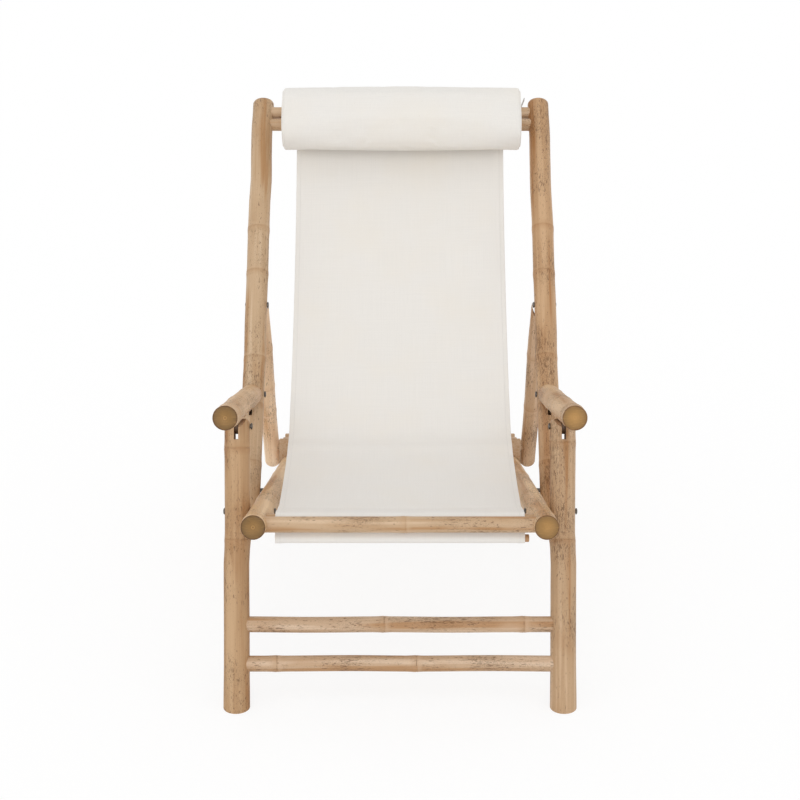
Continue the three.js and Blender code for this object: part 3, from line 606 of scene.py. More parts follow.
# Offsets from a node, and the share of its rise there: a collar with a groove in it
NODE_RING = ((-0.018, 0.0), (-0.009, 0.4), (-0.004, 0.85), (-0.0012, 1.0), (-0.0003, 0.5), (0.0003, 0.42),
             (0.0013, 0.8), (0.0035, 0.55), (0.0075, 0.2), (0.013, 0.0))
RING_SPACING = 0.025


def culm_stations(length, radii, knots, rounding, rise):
    """Distances along a culm and the radius at each: rounded ends, and a grooved ring at each node"""
    shares, sizes_there = zip(*radii)

    def at(z):
        return float(np.interp(z / length, shares, sizes_there))

    start_round, end_round = rounding
    stations = []
    for step in (0.0, 0.3, 0.6, 0.85, 1.0):
        inset = 1 - math.sqrt(1 - (1 - step) ** 2)
        stations.append((start_round * step, at(0) - start_round * inset))
        stations.append((length - end_round * step, at(length) - end_round * inset))
    for knot in knots:
        for offset, share in NODE_RING:
            if start_round * 2 < knot + offset < length - end_round * 2:
                stations.append((knot + offset, at(knot) + rise * share))
    # Half way between two nodes the nearest one changes within a millimetre
    marks = sorted(knots)
    for low, high in zip(marks, marks[1:]):
        middle = (low + high) / 2
        stations += [(middle - 0.0002, at(middle)), (middle + 0.0002, at(middle))]
    stations.sort()
    filled = [stations[0]]
    for z, r in stations[1:]:
        before = filled[-1][0]
        parts = int((z - before) / RING_SPACING) + 1
        for part in range(1, parts):
            between = before + (z - before) * part / parts
            filled.append((between, at(between)))
        if z - filled[-1][0] > 1e-5:
            filled.append((z, r))
    return filled


def grow_culm(name, start, end, radii, knots=(), rounding=(0.003, 0.003), seed=1, bends=None, facets=None):
    """Extrudes a culm ring by ring along +Z from a circle, and lays it from start to end"""
    s = sizes()
    length = (end - start).length
    radii = radii if hasattr(radii, "__len__") else ((0, radii), (1, radii))
    chance = random.Random(seed)
    if bends is None:
        bends = [(0, 0), *((share, s.kink * chance.uniform(-1, 1)) for share in sorted(knots)), (1, 0)]
    knots = [share * length for share in knots]
    (z, r), *stations = culm_stations(length, radii, knots, rounding, s.knot_rise)
    deselect_all()
    spot = Vector((wandered(bends, 0), 0, z))
    bpy.ops.mesh.primitive_circle_add(
        vertices=facets or s.facets, radius=r, fill_type="NGON", location=spot, rotation=(0, 0, 0))
    obj = named(name)
    edit()
    squash = 1.0
    for next_z, next_r in stations:
        goal = Vector((wandered(bends, next_z / length), 0, next_z))
        bpy.ops.mesh.extrude_region_move(TRANSFORM_OT_translate={"value": goal - spot})
        oval = 1 + 0.008 * noise(Vector((seed * 3.7, next_z * 6, 0)))
        change = next_r / r
        bpy.ops.transform.resize(
            value=(change * oval / squash, change / oval * squash, 1), center_override=goal,
            orient_type="GLOBAL")
        spot, r, squash = goal, next_r, oval
    # Both ends get a rim and a slightly sunken middle
    for side in (1, -1):
        select_faces(obj, lambda face: face.normal.z * side > 0.9 and len(face.verts) > 12
                     and abs(face.calc_center_median().z - (length if side > 0 else 0)) < 0.001)
        for share, depth in ((0.07, 0.0002), (0.55, -0.0004), (0.1, -0.0007)):
            bpy.ops.mesh.inset(thickness=r * share, depth=depth)
    leave_edit(outwards=True)
    for material in (bamboo_rind(), bamboo_end(), bamboo_cut()):
        obj.data.materials.append(material)
    edge = max(min(rounding) * 0.6, 0.0016)
    for face in obj.data.polygons:
        z = face.center.z
        if abs(face.normal.z) > 0.75 and (z < edge or z > length - edge):
            face.material_index = 1
    laid = lying(start, end)
    settle(obj, laid)
    return obj, laid, knots, radii[0][1]


def mark_grain(obj, laid, knots=(), gauge=0.02, seed=1, look=(0.5, 1.0, 0.0), tint=(1, 1, 1)):
    """What the wood finishes read: place along and across the piece, distance to the nearest node, radius,
    look (strength of the lines at nodes, lightness of the ends, clearness of the pith) and a colour factor,
    partly the piece's own tone and partly painted light that brightens pieces lying in shade"""
    places = np.empty(len(obj.data.vertices) * 3)
    obj.data.vertices.foreach_get("co", places)
    back = np.array(laid.inverted())
    local = places.reshape(-1, 3) @ back[:3, :3].T + back[:3, 3]
    nearest = np.full(len(local), 0.5)
    if len(knots):
        apart = local[:, 2:3] - np.array(knots)[None, :]
        nearest = apart[np.arange(len(apart)), np.abs(apart).argmin(axis=1)]
    local[:, 2] += random.Random(seed).uniform(1, 9)
    mark(obj, "grain", local)
    mark(obj, "knot", nearest)
    mark(obj, "gauge", np.full(len(local), gauge))
    mark(obj, "look", np.tile(look, (len(local), 1)))
    mark(obj, "tint", np.tile(tint, (len(local), 1)))


def add_culm(name, start, end, radii, knots, body, node, cuts=(), look=(0.5, 1.0, 0.0), tint=(1, 1, 1),
             **growth):
    """A finished culm. Each cut is a function that adds a solid, with its arguments"""
    obj, laid, places, gauge = grow_culm(name, start, end, radii, knots, **growth)
    for add_cutter, *arguments in cuts:
        deselect_all()
        add_cutter(*arguments)
        cutter = bpy.context.object
        cutter.data.materials.append(bamboo_cut())
        apply_modifier(obj, "BOOLEAN", operation="DIFFERENCE", solver="EXACT", object=cutter,
                       material_mode="TRANSFER")
        bpy.data.objects.remove(cutter)
    mark_grain(obj, laid, places, gauge, growth["seed"], look, tint)
    hand_over(obj, body, "bamboo", node)


def add_block(centre, direction, size):
    """A box with its faces along a side-view direction: sizes across, along and off it"""
    bpy.ops.mesh.primitive_cube_add(
        size=1, location=centre, rotation=(math.atan2(direction.z, direction.y), 0, 0), scale=size)


def add_round(start, end, radius):
    bpy.ops.mesh.primitive_cylinder_add(
        vertices=48, radius=radius, depth=(end - start).length, location=(start + end) / 2,
        rotation=lying(start, end).to_euler())


def turned_rounds(pivot, low, high, radius, angles):
    """Cutters along a culm from low to high, at each angle to which it turns about the pivot"""
    for angle in angles:
        turn = Matrix.Rotation(math.radians(angle), 3, "X")
        yield add_round, pivot + turn @ (low - pivot), pivot + turn @ (high - pivot), radius


class RECLINER_OT_stage(Operator):
    """Camera, pale floor and soft light"""

    bl_idname = "recliner.stage"
    bl_label = "Stage"

    CAMERA_PLACE, CAMERA_TILT = (0, -3.6, 1.692), math.radians(69.5)
    LENS_MM, SENSOR_MM = 89.8, 36
    FLOOR_SIZE = 90
    LIT_SKY, LIT_FLOOR, SEEN_FLOOR = (0.78, 0.78, 0.78), (0.93, 0.93, 0.93), (0.998, 0.998, 0.998)
    WHITE = (1, 1, 1)
    FLOOR_GLOW, GLOW_SHARE = 1.02, 0.8

    def execute(self, context):
        deselect_all()
        bpy.ops.object.camera_add(location=self.CAMERA_PLACE, rotation=(self.CAMERA_TILT, 0, 0))
        camera = bpy.context.object
        camera.name = "camera"
        camera.data.lens, camera.data.sensor_width = self.LENS_MM, self.SENSOR_MM
        context.scene.camera = camera
        context.scene.view_settings.view_transform = "Standard"

        deselect_all()
        bpy.ops.mesh.primitive_plane_add(size=self.FLOOR_SIZE, location=(0, 0, 0))
        floor = named("floor")
        floor.data.materials.append(self.floor_paint(recipe("pale floor")))

        for name, turn, rise, power, width in (
            ("lamp_front", -4, 24, 0.52, 30),
            ("lamp_left", -62, 34, 0.13, 40),
            ("lamp_right", 66, 34, 0.1, 40),
            ("lamp_top", 10, 84, 0.1, 60),
        ):
            bpy.ops.object.light_add(type="SUN", rotation=(math.radians(90 - rise), 0, math.radians(turn)))
            lamp = bpy.context.object
            lamp.name = name
            lamp.data.energy, lamp.data.angle = power, math.radians(width)

        context.scene.world = bpy.data.worlds.new("studio")
        r = Recipe(context.scene.world)
        level = r.mix(r.seen(), self.LIT_SKY, self.WHITE)
        sky = r.node("ShaderNodeBackground", {"Color": level}).outputs[0]
        r.node("ShaderNodeOutputWorld", {"Surface": sky})
        return {"FINISHED"}

    def floor_paint(self, r):
        """Pale for light, and close to white for the rays that see it, which still find the chair's shadow"""
        seen = r.seen()
        colour = r.mix(seen, self.LIT_FLOOR, self.SEEN_FLOOR)
        diffuse = r.node("ShaderNodeBsdfDiffuse", {"Color": colour}).outputs[0]
        glow = r.node("ShaderNodeEmission", {"Color": self.WHITE, "Strength": self.FLOOR_GLOW}).outputs[0]
        inputs = {0: r.times(seen, self.GLOW_SHARE), 1: diffuse, 2: glow}
        shader = r.node("ShaderNodeMixShader", inputs).outputs[0]
        r.node("ShaderNodeOutputMaterial", {"Surface": shader})
        return r.owner


class RECLINER_OT_seat_rails(Operator):
    """Two long culms from the front edge down to the floor behind"""

    bl_idname = "recliner.seat_rails"
    bl_label = "Seat Rails"

    def execute(self, context):
        s = sizes()
        floor = (add_block, Vector((0, 0.6, -0.25)), heading(0), (1, 1, 0.5))
        for side, knots, look in (
            ("left", (0.019, 0.215, 0.47, 0.72, 0.9), (0.8, 0.96, 0.9)),
            ("right", (0.045, 0.235, 0.45, 0.7, 0.91), (0.5, 1.3, 0.1)),
        ):
            hand = HANDS[side]
            add_culm(f"bamboo_rail_{side}", at_x(RAIL_FRONT, hand * (s.side_plane - RAIL_INSET_FRONT)),
                     at_x(on_rail(RAIL_LENGTH), hand * (s.side_plane - RAIL_INSET_REAR)),
                     ((0, s.rail_radius + 0.0005), (0.1, s.rail_radius), (1, s.rail_radius)), knots,
                     "seat_frame", f"seat_rail_{side}", [floor], look, (1.24, 1.22, 1.1),
                     rounding=(0.0012, 0.003), seed=11 + hand)
        return {"FINISHED"}


class RECLINER_OT_back_posts(Operator):
    """Back posts with the slots that the armrests' and the prop's plates turn in"""

    bl_idname = "recliner.back_posts"
    bl_label = "Back Posts"

    # Sizes across, along and off the post, and the middle's place along and off it from the pivot
    ARM_SLOT, ARM_SLOT_ALONG, ARM_SLOT_OFF = (0.006, 0.063, 0.0385), -0.02, 0.0065
    STRUT_SLOT, STRUT_SLOT_ALONG, STRUT_SLOT_OFF = (0.0064, 0.078, 0.0385), 0.0185, -0.0065

    def execute(self, context):
        s = sizes()
        for side, knots, tint in (
            ("left", (0.107, 0.24, 0.35, 0.558, 0.667), (0.99, 1, 0.98)),
            ("right", (0.107, 0.24, 0.354, 0.558, 0.67), (0.92, 0.82, 0.7)),
        ):
            hand = HANDS[side]
            x = hand * s.side_plane
            arm_slot = (add_block, at_x(on_post(ARM_ALONG + self.ARM_SLOT_ALONG, self.ARM_SLOT_OFF), x),
                        POST_HEADING, self.ARM_SLOT)
            strut_middle = at_x(on_post(STRUT_ALONG + self.STRUT_SLOT_ALONG, self.STRUT_SLOT_OFF),
                                x - hand * STRUT_INSET)
            strut_slot = (add_block, strut_middle, POST_HEADING, self.STRUT_SLOT)
            add_culm(f"bamboo_post_{side}", at_x(on_post(POST_FOOT), x), at_x(on_post(POST_TOP), x),
                     s.post_radius, knots, "back_frame", f"back_post_{side}", [arm_slot, strut_slot],
                     (0.3, 1, 0), tint, rounding=(0.003, 0.0085), seed=23 + hand, bends=POST_BENDS[side])
        return {"FINISHED"}


def add_flat(corner, hand, tilt, inset):
    """A block over a leg's inner top corner, tilted across the leg"""
    turn = Matrix.Rotation(math.radians(-hand * tilt), 4, "Y")
    place = lying(corner, corner + LEG_HEADING) @ turn @ Matrix.Translation((0, 0, 0.0078 - inset))
    bpy.ops.mesh.primitive_cube_add(
        size=1, location=place.to_translation(), rotation=place.to_euler(), scale=(0.05, 0.08, 0.02))


class RECLINER_OT_front_legs(Operator):
    """Front legs, with a saddle under the armrest and a slot for its plate"""

    bl_idname = "recliner.front_legs"
    bl_label = "Front Legs"

    SADDLE_PLAY, SADDLE_TURNS = 0.0024, (0, 9, 18, 27)
    TOP_ABOVE_SLOT = 0.0128
    PLATE_SLOT, PLATE_SLOT_ALONG = (0.0074, 0.056, 0.06), 0.0057
    CORNER_FLATS = ((25, 0.0012), (45, 0.0018), (65, 0.0012))

    def execute(self, context):
        s = sizes()
        gauge = s.leg_radius
        radii = ((0, gauge + 0.0008), (0.09, gauge + 0.0006), (0.16, gauge), (0.6, gauge),
                 (0.7, gauge - 0.0002), (1, gauge - 0.0002))
        top = SLOT_PIVOT + LEG_HEADING * self.TOP_ABOVE_SLOT
        for side, knots, tint in (
            ("left", (0.579, 0.871), (0.89, 0.81, 0.69)),
            ("right", (0.579, 0.89), (0.94, 0.91, 0.86)),
        ):
            hand = HANDS[side]
            x = hand * s.side_plane
            inner_corner = at_x(top, x - hand * gauge)
            cuts = [
                (add_block, Vector((0, -0.6, -0.25)), heading(0), (1, 1, 0.5)),
                *turned_rounds(at_x(SLOT_PIVOT, x), at_x(ARM_FRONT - ARM_HEADING * 0.05, x),
                               at_x(ARM_PIVOT, x), s.armrest_radius + self.SADDLE_PLAY, self.SADDLE_TURNS),
                (add_block, at_x(top + LEG_HEADING * 0.02, x), LEG_HEADING, (0.08, 0.04, 0.08)),
                *((add_flat, inner_corner, hand, *flat) for flat in self.CORNER_FLATS),
                (add_block, at_x(SLOT_PIVOT + LEG_HEADING * self.PLATE_SLOT_ALONG, x), LEG_HEADING,
                 self.PLATE_SLOT),
            ]
            foot = at_x(FOOT - LEG_HEADING * gauge, x)
            add_culm(f"bamboo_leg_{side}", foot, at_x(LEG_TOP, x), radii, knots,
                     "front_legs", f"leg_{side}", cuts, (0.5, 1, 0), tint, seed=37 + hand,
                     bends=LEG_BENDS[side])
        return {"FINISHED"}


class RECLINER_OT_armrests(Operator):
    """Armrests, hollowed at the rear end where they bear on the back posts"""

    bl_idname = "recliner.armrests"
    bl_label = "Armrests"

    HOLLOW_PLAY, HOLLOW_TURNS = 0.0018, (0, -9, -17, -25)

    def execute(self, context):
        s = sizes()
        for side, knots, look in (
            ("left", (0.1, 0.42, 0.8), (0.4, 1, 0.7)),
            ("right", (0.08, 0.4, 0.76), (0.4, 1.4, 0.1)),
        ):
            hand = HANDS[side]
            x = hand * s.side_plane
            post_x = x + wandered(POST_BENDS[side], (ARM_ALONG - POST_FOOT) / (POST_TOP - POST_FOOT))
            pivot, low, high = (at_x(point, post_x) for point in (ARM_PIVOT, on_post(-0.1), on_post(0.5)))
            cuts = turned_rounds(pivot, low, high, s.post_radius + self.HOLLOW_PLAY, self.HOLLOW_TURNS)
            add_culm(f"bamboo_armrest_{side}", at_x(ARM_FRONT, x), at_x(ARM_PIVOT, x),
                     ((0, s.armrest_radius + 0.0003), (0.15, s.armrest_radius), (1, s.armrest_radius)), knots,
                     "armrests", f"armrest_{side}", cuts, look, (1.05, 0.99, 0.87),
                     rounding=(0.0012, 0.003), seed=53 + hand)
        return {"FINISHED"}


class RECLINER_OT_prop(Operator):
    """The prop's two struts and the bar between them, which rests in the racks"""

    bl_idname = "recliner.prop"
    bl_label = "Prop"

    POST_PLAY, POST_TURNS = 0.0032, (0, -11, -22, -33, -44, -55, -66, -78)
    BOLT_CLEARANCE_RADIUS = 0.0076
    BAR_RADIUS = 0.01

    def execute(self, context):
        s = sizes()
        reach = s.side_plane - STRUT_INSET
        for side, knots, tint in (
            # The left strut's factor is mostly painted light: it brightens a strut that lies in shade behind
            # the post
            ("left", (0.26, 0.49, 0.65), (1.48, 1.56, 1.65)),
            ("right", (0.3, 0.62), (1.05, 1.02, 1.0)),
        ):
            hand = HANDS[side]
            bends = ((0, 0.0018 * hand), (0.26, -0.0004 * hand), (0.6, 0), (1, -0.002 * hand))
            pivot = at_x(STRUT_PIVOT, hand * s.side_plane)
            along = POST_HEADING * 0.6
            cuts = [
                *turned_rounds(pivot, pivot - along, pivot + along, s.post_radius + self.POST_PLAY,
                               self.POST_TURNS),
                (add_round, at_x(pivot, hand * 0.2), at_x(pivot, hand * 0.34), self.BOLT_CLEARANCE_RADIUS),
            ]
            add_culm(f"bamboo_strut_{side}", at_x(STRUT_PIVOT, hand * reach),
                     at_x(STRUT_PIVOT + STRUT_HEADING * STRUT_LENGTH, hand * reach), s.strut_radius, knots,
                     "prop", f"strut_{side}", cuts, (0.3, 1, 0), tint, rounding=(0.003, 0.009),
                     seed=71 + hand, bends=bends)
        add_culm("bamboo_strut_bar", at_x(STRUT_BAR, -reach), at_x(STRUT_BAR, reach), self.BAR_RADIUS,
                 (0.13, 0.56), "prop", "strut_bar", seed=79, facets=32)
        return {"FINISHED"}


class RECLINER_OT_cross_bars(Operator):
    """Cross bars, each running a little way into the culms that carry it"""

    bl_idname = "recliner.cross_bars"
    bl_label = "Cross Bars"

    SHORT_OF_MIDDLE = 0.008
    LEG_BAR_HEIGHTS = (0.0693, 0.1323)

    def execute(self, context):
        s = sizes()
        front, rear, side = s.side_plane - RAIL_INSET_FRONT, s.side_plane - RAIL_INSET_REAR, s.side_plane
        low, high = (FOOT + LEG_HEADING * (height / LEG_HEADING.z) for height in self.LEG_BAR_HEIGHTS)
        low_bends = ((0, 0), (0.113, 0), (0.35, 0.001), (0.552, 0), (0.79, 0.001), (1, 0))
        high_bends = ((0, 0), (0.21, -0.001), (0.45, 0), (0.65, -0.0009), (0.89, 0), (1, 0))
        plain, pale = (1.05, 1.07, 1.08), (1.1, 1.14, 1.22)
        for node, body, point, reach, radius, knots, bends, seed, line, tint in (
            ("front_bar", "seat_frame", FRONT_BAR, front, CROSS_BAR_RADIUS, (0.519,), (), 83, 0.2, plain),
            ("front_bar_inner", "seat_frame", INNER_BAR, front, CROSS_BAR_RADIUS, (0.47, 0.9), (), 89, 0.5,
             plain),
            ("floor_bar", "seat_frame", on_rail(RAIL_LENGTH - 0.086), rear, 0.013, (0.13, 0.56), (), 97, 0.5,
             plain),
            ("leg_bar_lower", "front_legs", low, side, 0.0137, (0.113, 0.552), low_bends, 101, 0.9, pale),
            ("leg_bar_upper", "front_legs", high, side, 0.0136, (0.45, 0.89), high_bends, 103, 0.9, pale),
            ("top_bar_lower", "back_frame", TOP_BAR_LOWER, side, 0.0124, (0.24, 0.51, 0.8), (), 107, 0.4,
             plain),
            ("top_bar_upper", "back_frame", TOP_BAR_UPPER, side, 0.0114, (0.47, 0.9), (), 109, 0.4, plain),
        ):
            reach -= self.SHORT_OF_MIDDLE
            add_culm(f"bamboo_{node}", at_x(point, -reach), at_x(point, reach), radius, knots, body, node,
                     look=(line, 1, 0), tint=tint, seed=seed, bends=bends, facets=34)
        return {"FINISHED"}


class RECLINER_OT_racks(Operator):
    """Toothed boards on the rails, with their sawn edges eased"""

    bl_idname = "recliner.racks"
    bl_label = "Racks"

    def execute(self, context):
        for side, hand in HANDS.items():
            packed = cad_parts[f"rack_{side}"]
            obj = bpy.data.objects.new(f"toothed_rack_{side}", packed.data.copy())
            context.scene.collection.objects.link(obj)
            edit(obj)
            bpy.ops.mesh.remove_doubles(threshold=0.00002)
            bpy.ops.mesh.dissolve_limited(angle_limit=math.radians(1))
            leave_edit()
            ease_edges(obj, 0.0011, 35)
            obj.data.materials.clear()
            obj.data.materials.append(rack_board())
            start, end = (at_x(on_rail(distance), hand * 0.23) for distance in (0.84, 1.1))
            mark_grain(obj, lying(start, end), seed=113 + hand)
            hand_over(obj, "seat_frame", "board", f"rack_{side}", angle=30)
        return {"FINISHED"}


class RECLINER_OT_bolts(Operator):
    """Domed bolts through each pivot, with a hexagon nut inside"""

    bl_idname = "recliner.bolts"
    bl_label = "Bolts"

    HEAD_RADIUS, HEAD_SQUASH, HEAD_DEPTH = 0.0056, 0.357, 0.00106
    SHANK_PAST, SHANK_CHAMFER = 0.003, 0.0006
    NUT_RADIUS, NUT_DEPTH = 0.0058, 0.0024

    def execute(self, context):
        s = sizes()
        leg = (s.leg_radius, LEG_BENDS, -s.leg_radius, (LEG_TOP - FOOT).length)
        post = (s.post_radius, POST_BENDS, POST_FOOT, POST_TOP)
        for name, body, point, along, (half, bends, low, high), rail_along, sunk in (
            ("leg_bolt", "seat_frame", LEG_PIVOT, (LEG_PIVOT - FOOT).length, leg, LEG_ALONG, 0),
            ("post_bolt", "seat_frame", POST_PIVOT, 0, post, POST_ALONG, 0),
            ("arm_bolt", "back_frame", ARM_PIVOT, ARM_ALONG, post, None, 0),
            ("strut_bolt", "back_frame", STRUT_PIVOT, STRUT_ALONG, post, None, 0.0028),
            ("slot_bolt", "front_legs", SLOT_PIVOT, (SLOT_PIVOT - FOOT).length, leg, None, 0),
        ):
            for side, hand in HANDS.items():
                middle = s.side_plane + hand * wandered(bends[side], (along - low) / (high - low))
                inner = middle - half
                if rail_along:
                    inset = RAIL_INSET_FRONT + (RAIL_INSET_REAR - RAIL_INSET_FRONT) * rail_along / RAIL_LENGTH
                    inner = s.side_plane - inset - s.rail_radius
                self.add_bolt(hand, point, middle + half - sunk, inner, body, f"{name}_{side}")
                self.add_nut(hand, point, inner, body, f"{name}_nut_{side}")
        return {"FINISHED"}

    def add_bolt(self, hand, point, outer, inner, body, node):
        seat = outer + SEAT_GAP
        tip = inner - SEAT_GAP - self.SHANK_PAST - seat
        deselect_all()
        bpy.ops.mesh.primitive_uv_sphere_add(
            segments=28, ring_count=16, radius=self.HEAD_RADIUS, location=(0, 0, 0))
        obj = named(f"steel_{node}")
        edit()
        bpy.ops.transform.resize(value=(1, 1, self.HEAD_SQUASH), center_override=(0, 0, 0))
        bpy.ops.mesh.bisect(plane_co=(0, 0, 0), plane_no=(0, 0, 1), clear_inner=True, use_fill=True)
        select_faces(obj, lambda face: face.normal.z < -0.9 and len(face.verts) > 12)

        def draw_out(distance):
            bpy.ops.mesh.extrude_region_move(TRANSFORM_OT_translate={"value": (0, 0, distance)})

        draw_out(-self.HEAD_DEPTH)
        bpy.ops.mesh.inset(thickness=0.0004, depth=0)
        bpy.ops.mesh.inset(thickness=0.0012, depth=0)
        draw_out(tip + self.SHANK_CHAMFER)
        draw_out(-self.SHANK_CHAMFER)
        bpy.ops.transform.resize(value=(0.84, 0.84, 1), center_override=(0, 0, tip))
        leave_edit(outwards=True)
        self.fit(obj, hand, point, seat + self.HEAD_DEPTH, body, node)

    def add_nut(self, hand, point, inner, body, node):
        deselect_all()
        bpy.ops.mesh.primitive_cylinder_add(
            vertices=6, radius=self.NUT_RADIUS, depth=self.NUT_DEPTH, location=(0, 0, 0))
        obj = named(f"steel_{node}")
        edit()
        for face_up in (1, -1):
            select_faces(obj, lambda face: face.normal.z * face_up > 0.9)
            bpy.ops.mesh.inset(thickness=0.0005, depth=0.0)
            bpy.ops.mesh.inset(thickness=0.0003, depth=-0.0003)
        leave_edit()
        ease_edges(obj, 0.0005, 40)
        self.fit(obj, hand, point, inner - SEAT_GAP - self.NUT_DEPTH / 2, body, node)

    @staticmethod
    def fit(obj, hand, point, reach, body, node):
        start = at_x(point, hand * reach)
        settle(obj, lying(start, start + Vector((hand, 0, 0))))
        obj.data.materials.append(dark_steel())
        hand_over(obj, body, "steel", node, angle=35)


class RECLINER_OT_dowels(Operator):
    """The two dowels that hold the sling by its sleeves"""

    bl_idname = "recliner.dowels"
    bl_label = "Dowels"

    RADIUS = 0.0064

    def execute(self, context):
        for name, body, point, low, high, node, seed in (
            ("dowel_front", "seat_frame", FRONT_ROD, -0.2052, 0.2128, "sling_rod_front", 127),
            ("dowel_top", "back_frame", TOP_ROD, -0.211, 0.211, "sling_rod_top", 131),
        ):
            obj, laid, _, gauge = grow_culm(name, at_x(point, low), at_x(point, high), self.RADIUS,
                                            rounding=(0.0012, 0.0012), seed=seed, facets=28)
            obj.data.materials.clear()
            obj.data.materials.append(dowel_wood())
            for face in obj.data.polygons:
                face.material_index = 0
            mark_grain(obj, laid, (), gauge, seed)
            hand_over(obj, body, "board", node)
        return {"FINISHED"}


class RECLINER_OT_plates(Operator):
    """Paint on the plates that join armrests and struts to their pivots"""

    bl_idname = "recliner.plates"
    bl_label = "Plates"

    def execute(self, context):
        for side in HANDS:
            for name in ("arm_plate_front", "arm_plate_rear", "strut_plate"):
                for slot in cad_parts[f"{name}_{side}"].material_slots:
                    slot.material = brown_plate()
        return {"FINISHED"}


def arc(centre, radius, low, high, steps):
    return [centre + heading(low + (high - low) * i / steps) * radius for i in range(steps + 1)]


def spline(points, steps):
    """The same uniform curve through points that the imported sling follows"""
    made = []
    last = len(points) - 1
    for i in range(steps + 1):
        place = last * i / steps
        k = min(int(place), last - 1)
        t = place - k
        p0, p1, p2, p3 = points[max(k - 1, 0)], points[k], points[k + 1], points[min(k + 2, last)]
        v0, v1 = (p2 - p0) * 0.5, (p3 - p1) * 0.5
        made.append((p1 * 2 - p2 * 2 + v0 + v1) * t**3 + (p2 * 3 - p1 * 3 - v0 * 2 - v1) * t**2 + v0 * t + p1)
    return made


def sling_line():
    """The sling's middle line in the side view, from its seam in front round the dowel, over the inner bar,
    along the seat, up the back, over the lower top bar and round the top dowel"""
    wrap = CROSS_BAR_RADIUS + SLING_GAP + SLING_ALLOWANCE
    top_wrap = TOP_BAR_RADIUS + SLING_GAP + SLING_ALLOWANCE
    sleeve = 0.008
    seat = [on_rail(POST_ALONG * a, POST_ALONG * b) for a, b in
            ((0.323, 0.024), (0.598, 0.079), (0.858, 0.151), (0.948, 0.188))]
    over = arc(TOP_BAR_LOWER, top_wrap, 147, POST_RISE, 16)
    span = over[0] - seat[-1]
    back = [seat[-1] + span * a + quarter_turn(span) * b for a, b in
            ((0, 0), (0.074, -0.043), (0.284, -0.079), (0.518, -0.089), (0.765, -0.065))] + [over[0]]
    points = arc(FRONT_ROD, sleeve, 60, -255, 40)
    front_end = len(points)
    points += arc(INNER_BAR, wrap, 180 - RAIL_SLOPE, 77, 16)
    points += spline(seat, 40) + spline(back, 80)[1:] + over[1:]
    top_start = len(points)
    points += arc(TOP_ROD, sleeve, POST_RISE + 75, POST_RISE - 240, 40)
    return points, front_end, top_start


def run_along(line):
    """Each point's distance along a line"""
    run = [0.0]
    for a, b in zip(line, line[1:]):
        run.append(run[-1] + (b - a).length)
    return run


def spaced(points, step):
    """The line sampled evenly, with each sample's distance along it"""
    run = run_along(points)
    count = round(run[-1] / step)
    made, k = [], 0
    for i in range(count + 1):
        goal = run[-1] * i / count
        while k < len(run) - 2 and run[k + 1] < goal:
            k += 1
        share = (goal - run[k]) / max(run[k + 1] - run[k], 1e-9)
        made.append((points[k].lerp(points[k + 1], share), goal))
    return made, run


class RECLINER_OT_sling(Operator):
    """One canvas sheet with side hems and a sleeve at each end"""

    bl_idname = "recliner.sling"
    bl_label = "Sling"

    ROW_STEP = 0.0042
    HEM_FOLDS, UNFOLDED_SHARE = 1.8, 0.56
    STITCH_INSET, SEAM_INSET = 0.0025, 0.004

    def execute(self, context):
        s = sizes()
        half = s.sling_width / 2
        fold = half - s.hem_width
        line, front_end, top_start = sling_line()
        rows, run = spaced(line, self.ROW_STEP)
        front_seam, top_seam = run[front_end], run[top_start]
        edge = (half, half - 0.0008, fold + 0.0006, fold - 0.0006)
        columns = [-x for x in edge] + list(np.linspace(-half + 0.02, half - 0.02, 40)) + list(reversed(edge))
        deselect_all()
        bpy.ops.mesh.primitive_grid_add(
            x_subdivisions=len(columns) - 1, y_subdivisions=len(rows) - 1, size=1, location=(0, 0, 0))
        obj = named("canvas_sling")
        cloth = []
        hem = obj.vertex_groups.new(name="thick")
        for i, vertex in enumerate(obj.data.vertices):
            row, column = divmod(i, len(columns))
            point, v = rows[row]
            before, after = rows[max(row - 1, 0)][0], rows[min(row + 1, len(rows) - 1)][0]
            normal = quarter_turn((after - before).normalized())
            x = columns[column]
            vertex.co = at_x(point, x) + normal * self.lift(x / half, v, front_seam, top_seam)
            cloth.append((x, v, 0))
            hem.add([vertex.index], 1.0 if abs(x) >= fold else 0.0, "REPLACE")
        mark(obj, "cloth", cloth)
        apply_modifier(obj, "SOLIDIFY", thickness=s.sling_thickness * self.HEM_FOLDS, offset=0,
                       vertex_group="thick", thickness_vertex_group=self.UNFOLDED_SHARE)
        apply_modifier(obj, "SUBSURF", levels=1, render_levels=1, boundary_smooth="PRESERVE_CORNERS")
        stitch = fold + self.STITCH_INSET
        obj.data.materials.append(canvas(recipe("sling canvas"), colours(), (-stitch, stitch),
                                         (front_seam + self.SEAM_INSET, top_seam - self.SEAM_INSET)))
        smooth(obj, 60)
        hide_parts("sling_seat", "sling_back")
        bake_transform(obj)
        return {"FINISHED"}

    @staticmethod
    def lift(x, v, front_seam, top_seam):
        """How far the cloth stands off its line: shallow waves, soft edges and puckers at the sleeves"""
        if v < front_seam or v > top_seam:
            return 0.00015 * noise(Vector((x * 9, v * 60, 4)))
        inner = min((v - front_seam) / 0.12, (top_seam - v) / 0.12, 1)
        waves = 0.0011 * noise(Vector((x * 1.6, v * 4.5, 2))) + 0.0005 * noise(Vector((x * 4, v * 11, 8)))
        sag = -0.0018 * (1 - x * x)
        curl = 0.0016 * max(0, abs(x) - 0.86) / 0.14 * noise(Vector((x * 2, v * 7, 5)))
        near = max(0, 1 - (v - front_seam - 0.03) / 0.05) if v < front_seam + 0.08 else 0
        puckers = 0.00035 * near * noise(Vector((x * 16, v * 8, 1)))
        return inner * (waves + sag) + curl * inner + puckers


def remesh(obj, voxel=0.004):
    pick(obj)
    obj.data.remesh_voxel_size = voxel
    bpy.ops.object.voxel_remesh()


